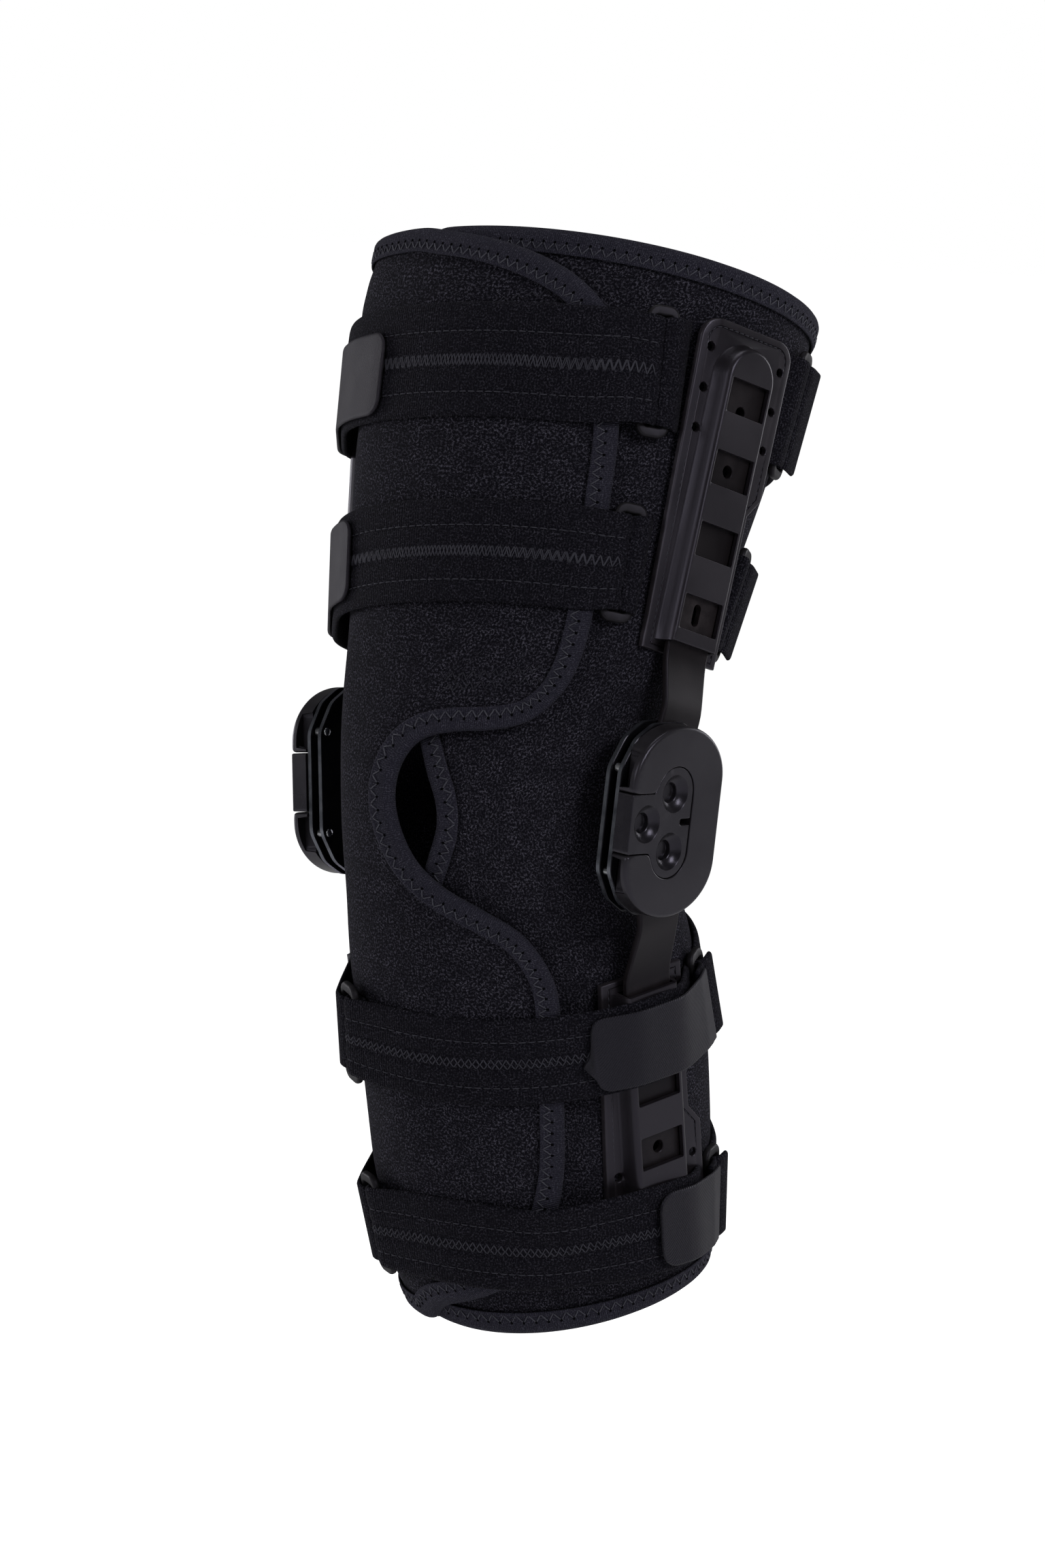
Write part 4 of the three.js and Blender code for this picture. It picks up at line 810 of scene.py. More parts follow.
def make_band(name, places, width, thick, material, slot, node, seams=(), ease=4, tip=None, spacing=1.6,
              neck=(1.0, 1.0), calm=0, shift=0.0):
    """Soft flat band along places: rounded edges, sunk seams, and an even crown between them."""
    at, centre, up, out = band_frames(places, spacing, ease, calm)
    along = np.gradient(centre, axis=0)
    normal = unit_rows(np.cross(up, along))
    normal *= np.sign((normal * out).sum())
    half = width / 2
    v = np.concatenate([-BAND_EDGE, BAND_FLAT, BAND_EDGE[::-1]]) * half
    rim = np.clip(half - np.abs(v), 0, thick * BAND_ROUND)
    swell = np.sqrt(np.clip(1 - (1 - rim / (thick * BAND_ROUND))**2, 0, 1))
    relief = np.full(len(v), CROWN if seams else 0.0)
    for s in seams:
        relief -= SEAM_DEPTH * np.exp(-((v - s) / SEAM_WIDTH)**2)
    face = thick / 2 * swell + relief * smooth(0, CROWN_RISE, half - np.abs(v))
    back = -thick / 2 * swell
    ring_v = np.concatenate([v, v[-2:0:-1]])
    ring_h = np.concatenate([face, back[-2:0:-1]])
    middle, scale = np.full(len(at), float(shift)), np.ones(len(at))
    if tip is not None:
        low, high = (np.interp(at[-1] - at, tip[:, 0], tip[:, k]) for k in (1, 2))
        middle, scale = middle + (low + high) / 2 * width, high - low
    ease_over = min(NECK_REACH, at[-1] * NECK_SHARE)
    for share, off in ((neck[0], at), (neck[1], at[-1] - at)):
        scale = scale * (1 - (1 - share) * smooth(ease_over, ease_over * NECK_FULL, off))
    across = middle[:, None] + ring_v[None, :] * scale[:, None]
    raise_by = normal[:, None, :] * ring_h[None, :, None]
    points = (centre[:, None, :] + up[:, None, :] * across[..., None] + raise_by).reshape(-1, 3)
    uv = np.stack(np.broadcast_arrays(at[:, None], ring_v[None, :]), -1).reshape(-1, 2)
    piece = add_piece(name, points, outward(points, sweep_faces(len(at), len(ring_v), False)), material, slot,
                      [node], uv)
    path_up = up * scale[:, None] if tip is None else up
    return piece, dict(at=at, centre=centre, up=path_up, normal=normal, v=v, face=face, length=at[-1],
                       width=width)


def along_band(path, at, v, lift=0.16):
    """Points and normals on a band's outer face at lengths along it and places across it."""
    at, v = np.broadcast_arrays(np.asarray(at, float), np.asarray(v, float))
    rows = [between(at, path["at"], path[key]) for key in ("centre", "up", "normal")]
    height = np.interp(v, path["v"], path["face"])
    return rows[0] + rows[1] * v[:, None] + rows[2] * (height + lift)[:, None], rows[2]


def straight_seam(path, start, end, v, pitch=4.0, gap=0.8):
    marks = np.arange(start, end - pitch, pitch)
    first, normal = along_band(path, marks, v)
    return first, along_band(path, marks + pitch - gap, v)[0], normal


def zigzag_seam(path, start, end, v, half, pitch):
    marks = np.arange(start, end, pitch)
    points, normal = along_band(path, marks, v + half * np.where(np.arange(len(marks)) % 2, 1, -1))
    return points[:-1], points[1:], normal[:-1]


def sew(name, seams, look):
    points, faces = thread_stitches(*(np.vstack(r) for r in zip(*seams)))
    return add_piece(name, points, faces, look["thread"], "strap_cloth")


# Flat rings: space round the strap, end of the frame beyond it, outer and inner corner; then the rows of the
# frame's rounding, each an inset and a height.
RING_SPACE, RING_END, RING_CORNERS = 0.4, 4.6, (5.0, 1.5)
RING_ROWS = ((0.0, 0.5), (0.22, 1.0), (0.6, 1.38), (1.1, WIRE))


def make_ring(name, ring, width, material, node):
    """Flat moulded ring: a rounded frame with one long opening."""
    def frame_row(wide, tall, corner, grow, height):
        wide, tall, corner = wide + grow, tall + grow, max(corner + grow, 0.4)
        path = []
        for cx, cy, start in ((1, 1, 0), (-1, 1, 90), (-1, -1, 180), (1, -1, 270)):
            for a in np.linspace(start, start + 90, 9):
                path.append(((wide - corner) * cx + corner * math.cos(a * DEG),
                             (tall - corner) * cy + corner * math.sin(a * DEG)))
        return with_heights(np.array(path), height, -height)
    opening = width / 2 * NECK + RING_SPACE
    outer = (RING_HALF + WIRE, opening + RING_END, RING_CORNERS[0])
    inner = (RING_HALF - WIRE, opening, RING_CORNERS[1])
    loops = [frame_row(*outer, -d, h) for d, h in RING_ROWS]
    loops += [frame_row(*inner, d, h) for d, h in RING_ROWS[1:]]
    form = terrace(loops, holes=[frame_row(*inner, 0, RING_ROWS[0][1])])
    axes = dict(origin=ring["centre"], across=ring["sideways"], along=ring["up"], out=ring["out"])
    return add_placed(name, form, axes, material, "ring_wire", node, sharp=50)


# Seams along a strap as shares of its width: stitched rows, sunk lines, and zigzags with their place, half
# width and pitch.
SEAM_ROWS, SEAM_LINES, SEAM_MIDDLE = (0.24, -0.29), (0.065, -0.085), -0.01
ZIGZAGS = {"hook": ((0.0, 0.057, 1.75), (0.0, 0.057, 1.79)),
           "twill": ((0.025, 0.032, 1.6), (-0.025, 0.032, 1.64))}
# Length over which a front strap is eased, by its sewn side; rear straps and tabs.
FRONT_CALM, REAR_CALM, TAB_CALM = {1: 7, -1: 13}, 7, 4
# Tabs: height over the strap, on its return and along it, spacing of places, and distance from the channel.
TAB_LIFT, TAB_ON_STRAP, TAB_SPACING, TAB_CLEAR = 0.35, 0.2, 0.7, 2
# How much lower than its fold a rear strap's first and last end lie.
REAR_TUCKS = (0.2, 0.4)
# Shares of the way from the far fold back to the channel: the strap's end and the tab's first places.
STRAP_END, TAB_STARTS = 0.3, (0.06, 0.38)
# Lengths left free of stitches: after the first fold and before the far one, and at a rear strap's folds.
SEAM_FROM, SEAM_TO, REAR_SEAM_FROM = 3, 14, 4
# How far a ring band lies past the ring's bar, over and under it.
BAND_OVER, BAND_UNDER = 1.5, 2.5
TAB_TIPS = {"hook": 6.5, "twill": 8.0}
# Wavy tab end: distance from the point, lower and upper edge as shares of the width.
WAVY_TIP = np.array([
    (0, -0.13, -0.11), (1.0, -0.17, -0.06), (2.2, -0.22, -0.02), (3.2, -0.26, 0.03), (3.5, -0.27, 0.14),
    (3.8, -0.28, 0.30), (4.8, -0.32, 0.42), (6.3, -0.43, 0.47), (8.0, -0.47, 0.49), (10.8, -0.5, 0.5),
])


def round_tip(corner, width):
    rows = []
    for d in np.linspace(0, corner, 12):
        share = 0.5 - (corner - math.sqrt(max(corner**2 - (corner - d)**2, 0))) / width
        rows.append((d, -share, share))
    return np.array(rows)


def place_at(set_, a, w):
    """Place of a band of width w at an angle, counted from the front toward the set's sewn side."""
    return {**station(set_["plane"], set_["side"] * a, w), "angle": a}


def scale_at(set_, a):
    """Millimetres to a degree on a set's level plane."""
    a = set_["side"] * a
    return float(per_degree(a, level_at(set_["plane"], a)))


def ring_at(set_, a, lift):
    place = raised(place_at(set_, a, set_["width"] + 2 * RING_OVER), lift)
    return {**place, "sideways": unit(np.cross(place["up"], place["out"])) * set_["side"]}


def lay(set_, start, end):
    """Places along a strap that lies on the cloth."""
    step = FINE if start < end else -FINE
    return [raised(place_at(set_, start + i * step, set_["width"]), STRAP_SEAT + STRAP / 2)
            for i in range(int((end - start) // step) + 1)]


def tab_kind(set_):
    return "hook" if set_["tab"] == "hook" else "twill"


def make_strap(name, label, node, set_, places, calm, look):
    """Plush strap along places, with sunk seam lines."""
    width = set_["width"]
    seams = [share * width for share in (*SEAM_ROWS, *SEAM_LINES)]
    return make_band(f"{name}_{label}", places, width, STRAP, look["strap"], "strap_cloth", f"{name}_{node}",
                     seams=seams, neck=(NECK, NECK), calm=calm)


def sew_strap(name, set_, path, begin, end, look):
    """Stitched rows and zigzags along a strap."""
    width = set_["width"]
    seams = [straight_seam(path, begin, end, share * width) for share in SEAM_ROWS]
    seams += [zigzag_seam(path, begin, end, (SEAM_MIDDLE + off) * width, half * width, pitch)
              for off, half, pitch in ZIGZAGS[tab_kind(set_)]]
    return sew(name, seams, look)


def make_front_strap(name, set_, ring, far_ring, channels, look):
    """Strap that is sewn round its ring and runs across the front, over the channel and back round a ring."""
    side, plane = set_["side"], set_["plane"]
    near_fold = fold_round(ring, FOLD_REACH - RING_HALF, FOLD, -90, 90)
    far_fold = fold_round(far_ring, RING_HALF - FOLD_REACH, FOLD, -90, -270)
    start = set_["ring"] - (RING_HALF + TAIL / 2) / scale_at(set_, set_["ring"])
    first = {**near_fold[-1], "angle": start + FINE}
    last = {**far_fold[0], "angle": -FAR_RING}
    far = next(c for c in channels if c["out"][0] * side < 0 and (c["along"][2] > 0) == (plane[0] > 0))
    walls = [{**p, "angle": -abs(p["angle"])} for p in over_channel(plane, far, STRAP_SEAT + STRAP / 2)]
    stop = walls[0]["angle"] + (CHANNEL["front"] - CHANNEL["wall_top"]) / scale_at(set_, CHANNEL_ANGLE)
    run = taut([first, *lay(set_, start, stop), *walls, last], -side)[1:-1]
    returned = raised(run[-1], STRAP + RETURN_SEAT)

    def on_return(share, height):
        return raised({k: far_fold[-1][k] * (1 - share) + returned[k] * share
                       for k in ("centre", "up", "out", "angle")}, height)

    places = [by_ring(ring, -RING_HALF - TAIL / 4, -FOLD), *near_fold, *run, *far_fold,
              on_return(STRAP_END, 0)]
    strap, path = make_strap(name, "plush_strap", "strap", set_, places, FRONT_CALM[side], look)
    folded = math.pi * FOLD
    stitches = sew_strap(f"{name}_strap_stitches", set_, path, TAIL / 4 + folded + SEAM_FROM,
                         path["length"] - folded - SEAM_TO, look)
    return strap, path, stitches, run, on_return


def make_tab(name, set_, run, on_return, look):
    """Tab at the strap's free end, lying back over the strap."""
    over = STRAP / 2 + RETURN_SEAT + TAB / 2 + TAB_LIFT
    back_run = run[::-1]
    tab_from, tab_to = run[-1]["angle"] + TAB_CLEAR / scale_at(set_, run[-1]["angle"]), -set_["tab_end"]
    tab_places = [raised(p, over) for p in back_run if tab_from < p["angle"] < tab_to]
    ends = []
    for wanted in (tab_from, tab_to):
        for p, q in zip(back_run, back_run[1:]):
            if p["angle"] <= wanted <= q["angle"]:
                t = (wanted - p["angle"]) / (q["angle"] - p["angle"])
                mixed = {k: p[k] + (q[k] - p[k]) * t for k in ("centre", "up", "out")}
                ends.append(raised({**mixed, "angle": wanted}, over))
                break
    on_strap = (STRAP + TAB) / 2 + TAB_ON_STRAP
    w = set_["tab_width"]
    tip = WAVY_TIP if set_["tab"] == "wavy" else round_tip(TAB_TIPS[set_["tab"]], w)
    places = [*(on_return(share, on_strap) for share in TAB_STARTS), ends[0], *tab_places, ends[-1]]
    kind = tab_kind(set_)
    return make_band(f"{name}_end_tab", places, w, TAB, look[kind], f"{kind}_tab", f"{name}_tab", tip=tip,
                     spacing=TAB_SPACING, calm=TAB_CALM, shift=set_.get("tab_shift", 0))


def make_rear_strap(name, set_, rear_ring, far_ring, look):
    """Strap round the back, from the rear ring to the far ring."""
    side = set_["side"]
    rear_fold = fold_round(rear_ring, RING_HALF - FOLD_REACH, FOLD, 90, 270)
    end_fold = fold_round(far_ring, FOLD_REACH - RING_HALF, FOLD, -90, 90)
    rear_from = REAR_RING + (RING_HALF + TAIL) / scale_at(set_, REAR_RING)
    rear_to = 360 - FAR_RING - (RING_HALF + TAIL) / scale_at(set_, FAR_RING)
    rear_laid = taut([{**rear_fold[-1], "angle": rear_from - FINE}, *lay(set_, rear_from, rear_to),
                      {**end_fold[0], "angle": rear_to + FINE}], side)
    places = [by_ring(rear_ring, RING_HALF + TAIL, FOLD - REAR_TUCKS[0]), *rear_fold, *rear_laid[1:-1],
              *end_fold,
              by_ring(far_ring, -RING_HALF - (TAIL if side > 0 else TAIL / 2), FOLD - REAR_TUCKS[1])]
    rear, path = make_strap(name, "back_strap", "rear_strap", set_, places, REAR_CALM, look)
    inset = TAIL + math.pi * FOLD + REAR_SEAM_FROM
    return rear, path, sew_strap(f"{name}_back_stitches", set_, path, inset, path["length"] - inset, look)


def make_ring_bands(name, set_, ring, rear_ring, look):
    """Short bands that hold the sewn side's front and rear ring to the channel."""
    side = set_["side"]
    fold = WIRE + FOLD_SEAT + ANCHOR / 2
    arm = abs(arm_angle(float(level_at(set_["plane"], side * 90))))
    band = set_["width"] - BAND_LESS
    hem = REAR_FLANGE[side]["wide" if set_["wide"] else "narrow"]
    made = []
    for label, node, one, way, edge in (("ring_band", "front_band", ring, 1, -CHANNEL["front"] - BAND_GAP),
                                        ("back_band", "rear_band", rear_ring, -1, hem + BAND_GAP)):
        end = place_at(set_, arm + edge / scale_at(set_, arm), band)
        places = [raised(end, STRAP_SEAT + ANCHOR / 2), by_ring(one, way * (RING_HALF + BAND_OVER), fold),
                  *fold_round(one, way * (RING_HALF - FOLD_REACH), fold, 90, 90 + way * 180),
                  by_ring(one, way * (RING_HALF + BAND_UNDER), -fold)]
        made.append(make_band(f"{name}_{label}", places, band, ANCHOR, look["strap"], "strap_cloth",
                              f"{name}_{node}", ease=2, neck=(1.0, NECK)))
    return made


def make_strap_set(name, set_, channels, look):
    ring = ring_at(set_, set_["ring"], RING_LIFT)
    rear_ring = ring_at(set_, REAR_RING, RING_LIFT)
    far_ring = ring_at(set_, -FAR_RING, FAR_RING_LIFT[set_["side"]])
    rings = [make_ring(f"{name}_{label}_frame", one, set_["width"], look["ring"], f"{name}_{label}_ring")
             for label, one in (("front", ring), ("rear", rear_ring), ("far", far_ring))]
    strap, path, stitches, run, on_return = make_front_strap(name, set_, ring, far_ring, channels, look)
    tab, tab_path = make_tab(name, set_, run, on_return, look)
    rear, rear_path, back_stitches = make_rear_strap(name, set_, rear_ring, far_ring, look)
    (front, front_path), (back, back_path) = make_ring_bands(name, set_, ring, rear_ring, look)


# Channels and bars

WINDOWS = dict(first=11, length=14.5, half=11.2, count=4)
# Channel length, end of the straight housing and window pitch; the right thigh channel reaches higher.
CHANNEL_FIT = {"right_thigh": (141, 118.0, 30.7)}
USUAL_FIT = (CHANNEL["length"], 108.4, 29)
# Flange rows: inset from the edge and height, with the stitched groove; the groove's middle, its floor, and
# the pitch, drawn share and radius of its stitches.
FLANGE = 2.3
FLANGE_ROWS = ((0, 1.5), (0.25, 2.1), (0.8, FLANGE), (3.0, FLANGE), (3.2, 1.8), (3.7, 1.8), (3.9, FLANGE))
GROOVE = dict(inset=3.45, floor=1.95, pitch=3.0, drawn=0.78, thread=0.24)
# The hinge end of a flange follows an inset by this share.
FOOT_SHARE = 0.6
# Rows up the housing and on its roof: half width and height, on the roof also how much later the row starts.
WALL_ROWS = ((15.6, FLANGE), (14.9, 2.9), (14.3, 5.0), (13.9, 7.3), (13.5, 8.5), (12.9, 9.2), (12.6, 9.35))
ROOF_ROWS = ((12.45, 9.45, 0), (12.15, 9.55, 0.4), (11.9, 9.6, 0.8))
# Mouth of the housing: where it starts and how its wall leans; start and underside of the roof.
MOUTH, MOUTH_LEAN, ROOF_FROM, ROOF_UNDER = 4.5, 0.22, 5.3, 7.4
WALL_SPACING = 4.0
# Rows round a window: how far outside its edge, and height; the last is the edge itself.
WINDOW_ROWS = ((0.3, 9.6), (0.08, 9.5), (0, 9.3))
WINDOW_CORNER = 0.7
# Rivet holes: side, distances from the far end, inset and radius.
RIVET_EDGE = 0.3
RIVETS = ((-1, (12.8, 30.0, 47.0), 5.4, 2.0), (1, (12.8, 29.8, 46.5), 5.4, 1.9))


def eased_corner(corner, before, after, radius, count=7):
    """Arc that rounds a corner between two straight sides."""
    corner, before, after = (np.array(p, float) for p in (corner, before, after))
    u, v = unit(before - corner), unit(after - corner)
    half = math.acos(np.clip(u @ v, -1, 1)) / 2
    middle = corner + unit(u + v) * radius / math.sin(half)
    first, last = corner + u * radius / math.tan(half) - middle, corner + v * radius / math.tan(half) - middle
    turn = math.atan2(first[0] * last[1] - first[1] * last[0], first @ last)
    return [middle + np.array([first[0] * math.cos(t) - first[1] * math.sin(t),
                               first[0] * math.sin(t) + first[1] * math.cos(t)])
            for t in np.linspace(0, turn, count)]


def flange_plan(length, inset, rear):
    """Edge line of a channel's flange, rear side at plus x."""
    c = CHANNEL
    end = length - inset
    start = FOOT_SHARE * inset
    foot, tip = (-(c["front_narrow"] - inset), start), (-(c["front"] - inset), end)
    narrow = rear["narrow"] - rear["follow"] * inset
    wide = rear["wide"] - inset
    points = [foot, (narrow, start), (narrow, c["step_from"]), (wide, c["step_to"])]
    points += eased_corner((wide, end), points[-1], tip, c["corner"] - inset)
    points += eased_corner(tip, (wide, end), foot, c["corner"] - inset)
    return np.array(points)


def stadium(half, start, end):
    """Open line up one side of the housing, round its far end and back down."""
    side = np.arange(start, end, WALL_SPACING)
    arc = [(half * math.cos(a), end + half * math.sin(a)) for a in np.linspace(0, math.pi, 25)]
    return np.array([(half, y) for y in side[:-1]] + arc + [(-half, y) for y in side[-2::-1]])


def make_channel(name, channel, look):
    length, round_end, pitch = CHANNEL_FIT.get(name, USUAL_FIT)
    rear = REAR_FLANGE[1 if name.startswith("right") else -1]

    def sag_at(x):
        return flange_sag(np.minimum(x, rear["flat_from"]))

    def sagged(plan, top):
        sag = sag_at(plan[:, 0])
        return with_heights(plan, top + sag, sag)

    loops = [sagged(flange_plan(length, d, rear), h) for d, h in FLANGE_ROWS]
    lines = []
    for half, height in WALL_ROWS:
        start = MOUTH + (WALL_ROWS[0][0] - half) * MOUTH_LEAN
        row = sagged(stadium(half, start, round_end), height)
        row[:, 2] -= sag_at(row[:, 0]) * smooth(FLANGE, 5, height)
        lines.append(row)
    for half, height, later in ROOF_ROWS:
        loops.append(with_heights(stadium(half, ROOF_FROM + later, round_end), height, ROOF_UNDER))
    inner, top = ROOF_ROWS[0][:2]
    lip = np.array([(-inner, MOUTH), (inner, MOUTH)])
    lines += [sagged(np.array([(s * inner, MOUTH), (s * WALL_ROWS[0][0], MOUTH)]), FLANGE) for s in (1, -1)]
    eave = [(s * inner, ROOF_FROM, top, ROOF_UNDER) for s in (1, -1)]
    holes = [np.vstack([sagged(lip, FLANGE), eave])]
    for i in range(WINDOWS["count"]):
        y, x = WINDOWS["first"] + i * pitch, WINDOWS["half"]
        for grow, top in WINDOW_ROWS:
            near, far = y - grow, y + WINDOWS["length"] + grow
            corners = [(-x - grow, near), (x + grow, near), (x + grow, far), (-x - grow, far)]
            plan = []
            for k in range(4):
                before, after = corners[k - 1], corners[(k + 1) % 4]
                plan += eased_corner(corners[k], before, after, WINDOW_CORNER + grow, 5)
            (loops if grow else holes).append(with_heights(np.array(plan), top, ROOF_UNDER))
    for side, places, inset, radius in RIVETS:
        for off in places:
            y = length - off
            front = np.interp(y, (0, length), (CHANNEL["front_narrow"], CHANNEL["front"]))
            x = side * ((rear["wide"] if side > 0 else front) - inset)
            loops.append(sagged(circle(x, y, radius + RIVET_EDGE, 20), FLANGE))
            holes.append(sagged(circle(x, y, radius, 20), FLANGE - RIVET_EDGE))
    form = terrace(loops, lines, holes)
    form[0][:, 0] *= channel["rear"]
    add_placed(f"{name}_channel_cover", form, channel, look["moulding"], "moulding", f"{name}_channel",
               sharp=38)
    groove = flange_plan(length, GROOVE["inset"], rear)
    groove = resample(np.vstack([groove[1:], groove[:1]]), GROOVE["pitch"])[1][0]
    groove = np.column_stack([groove, GROOVE["floor"] + sag_at(groove[:, 0])])
    groove[:, 0] *= channel["rear"]
    marks = placed(groove, channel)
    points, faces = thread_stitches(marks[:-1], marks[:-1] + (marks[1:] - marks[:-1]) * GROOVE["drawn"],
                                    np.tile(channel["out"], (len(marks) - 1, 1)), GROOVE["thread"])
    add_piece(f"{name}_channel_stitches", points, faces, look["thread"], "moulding")


# Flat bars: half width, thickness and height in the channel; where they end, leave the channel, lie straight
# in the hinge and stop; taper and corners of the two ends.
BAR = dict(half=12, thick=3, under=3.7, end=124, mouth=-1, straight=44, head=6, taper=3, corner=4.5,
           head_corner=3.2)
# Points along a bar's sides: distance from its ends and spacing; start of the head's corners.
BAR_SIDES, BAR_SPACING, BAR_HEAD = (8, 10), 3.0, 9
# Rows of a bar's rounded edge: inset and height.
BAR_ROWS = ((0, 0.8), (0.2, 1.2), (0.5, 1.42), (0.9, 1.5))
# Adjustment slot: radius, half length and height of its edge; round holes: radius and height of the rim and
# of the edge, and the second hole's shift.
BAR_SLOT = dict(radius=2.1, reach=2.6, height=1.3)
BAR_HOLES, SECOND_HOLE = ((3.0, 1.5), (2.7, 1.25)), 5.8
HINGE = dict(face=95.6, lean=5, half=28, straight=17, rise=23)
PLATE = dict(thick=2.3, half=27.2, flat=21.5, shoulder=(19.5, 34), top=(9, 40))
COVER_THICK = 8.6
OUTER_PLATE_TOP = -COVER_THICK - SEAT
BAR_MID = OUTER_PLATE_TOP - PLATE["thick"] - SEAT - BAR["thick"] / 2
INNER_PLATE_TOP = BAR_MID - BAR["thick"] / 2 - SEAT


def hinge_frame(side):
    lean = HINGE["lean"] * DEG
    along = np.array([side * math.sin(lean), 0, math.cos(lean)])
    out = np.array([side * math.cos(lean), 0, -math.sin(lean)])
    across = np.cross(along, out)
    if side < 0:
        across, along = -across, -along
    return dict(origin=np.array([side * HINGE["face"], 0.0, 0.0]), across=across, along=along, out=out)


def make_bar(name, channel, hinge, look):
    """Flat bar: along the channel, stepped out to the hinge, with rounded edges and adjustment holes."""
    sign = np.sign(channel["along"][2])
    along = hinge["along"] * np.sign(hinge["along"][2]) * sign
    slope = channel["along"][1] / abs(channel["along"][2])

    def in_channel(y):
        return channel["origin"] + channel["along"] * y + channel["out"] * (BAR["under"] + BAR["thick"] / 2)

    def in_hinge(y):
        return hinge["origin"] + along * y + hinge["out"] * BAR_MID + np.array([0, slope * y, 0])

    ways = hinge["across"] * np.sign(channel["across"] @ hinge["across"])
    lean = unit(ways - along * slope * np.sign(ways[1]))
    centre = np.array([in_channel(BAR["end"]), in_channel(BAR["mouth"]),
                       in_hinge(BAR["straight"]), in_hinge(BAR["head"])])
    across = np.array([channel["across"], channel["across"], lean, lean])
    out = np.array([channel["out"], channel["out"], hinge["out"], hinge["out"]])
    at, (centre, across, out) = resample(centre, 2.0, across, out)
    centre, across = softened(centre, 3), unit_rows(softened(across, 3))
    normal = unit_rows(np.cross(across, np.gradient(centre, axis=0)))
    normal *= np.sign((normal * out).sum())
    length = at[-1]
    loops = []
    for d, h in BAR_ROWS:
        half = BAR["half"] - d
        narrow, corner, head_corner = half - BAR["taper"], BAR["corner"] - d, BAR["head_corner"] - d
        ends = [(-half, d), (half, d), (narrow, length - d), (-narrow, length - d)]
        plan = eased_corner(ends[0], ends[3], ends[1], corner)
        plan += eased_corner(ends[1], ends[0], ends[2], corner)
        ys = np.arange(BAR_SIDES[0], length - BAR_SIDES[1], BAR_SPACING)
        plan += [(half, y) for y in ys]
        plan += eased_corner(ends[2], (half, length - BAR_HEAD), ends[3], head_corner)
        plan += eased_corner(ends[3], ends[2], (-half, length - BAR_HEAD), head_corner)
        plan += [(-half, y) for y in ys[::-1]]
        loops.append(with_heights(np.array(plan), h, -h))
    pitch = CHANNEL_FIT.get(name, USUAL_FIT)[2]
    first = BAR["end"] - WINDOWS["first"] - WINDOWS["length"] / 2
    radius, reach, edge = BAR_SLOT["radius"], BAR_SLOT["reach"], BAR_SLOT["height"]
    slot = [(radius * math.cos(a), first + reach * math.copysign(1, math.sin(a)) + radius * math.sin(a))
            for a in np.linspace(0.1, 2 * math.pi - 0.1, 28)]
    holes = [with_heights(np.array(slot), edge, -edge)]
    for y in (first - 2 * pitch, first - 3 * pitch + SECOND_HOLE):
        for rows, (radius, height) in zip((loops, holes), BAR_HOLES):
            rows.append(with_heights(circle(0, y, radius, 24), height, -height))
    plan, faces, _ = terrace(loops, holes=holes)
    centre, across, normal = (between(plan[:, 1], at, rows) for rows in (centre, across, normal))
    points = centre + across * plan[:, :1] + normal * plan[:, 2:]
    add_piece(f"{name}_flat_bar", points, outward(points, faces), look["bar"], "bar_metal",
              [f"{name}_bar"], sharp=40)


# Hinges

# Stop insert: half height and end of its neck, radius and middle of its two lobes, height of its face; the
# lobes' arcs in half turns; its recesses.
LOWER_LOBE, UPPER_LOBE = (1.12, 2), (0, 0.88)
INSERT = dict(half=12.4, neck=-14.5, lobe=11.2, x=-1.8, y=12.0, top=-0.35)
RECESSES = ((-17.6, 0.0), (-1.8, 12.0), (-1.8, -12.0))
# Rows of a recess: radius and depth below the insert's face.
RECESS_ROWS = ((8.0, 0.0), (7.75, 0.22), (7.1, 1.05), (6.2, 1.95), (5.2, 2.6), (4.5, 2.85), (4.2, 3.05),
               (4.05, 3.4), (3.9, 4.7), (3.6, 5.0))
SLOT = dict(start=3.2, half=1.3)
# Cover: rounding of its edge and the share of it at the insert, the band in which that edge lies, and the
# notches under its front edge: place, ends and floor.
COVER_ROUND, INSERT_SHARE = 1.7, 0.22
AT_INSERT = dict(above=11.5, front=1.5, rear=8, high=24, share=0.8)
NOTCH = dict(x=-23.1, low=14.8, high=29.6, floor=-3.2, line=(15.4, 27.4))
NOTCH_LINES = ((-22.9, -COVER_THICK), (-23.3, NOTCH["floor"]))
INSERT_ROUND = 0.4
PLATE_ROWS = ((0, -0.25), (0.3, 0.0))
# Spacers and rivets: places on the plate; rows of a spacer's end and of a rivet head, as radius and height.
SPACER_AT, RIVET_AT = (-23.5, 21.5), (19, 20)
SPACER_ROWS = ((1.5, 0.0), (1.9, 0.3))
RIVET_ROWS = ((1.9, 0.4), (1.9, -0.15), (1.6, -0.6), (0.9, -0.95), (0.2, -1.05))
# Pad stud: radii, place, and the rows of its head as radius and depth.
STUD = dict(radius=5.2, neck=3.0, x=1.5)
STUD_ROWS = ((STUD["neck"], 0), (STUD["neck"], 1.0), (STUD["radius"] - 0.5, 1.2), (STUD["radius"], 1.6),
             (STUD["radius"] - 0.4, 2.3), (STUD["radius"] - 1.4, 2.9), (STUD["radius"] - 3, 3.25), (0.5, 3.4))


def insert_edge(grow):
    """Line round the insert, from its lower front corner to its upper one."""
    half, neck, lobe = INSERT["half"] + grow, INSERT["neck"], INSERT["lobe"] + grow
    x, y = INSERT["x"], INSERT["y"]

    def arc(middle, turns):
        angles = np.linspace(*turns, 19) * math.pi
        return [(x + lobe * math.cos(a), middle + lobe * math.sin(a)) for a in angles]

    return [(neck, -half)] + arc(-y, LOWER_LOBE), arc(y, UPPER_LOBE) + [(neck, half)]


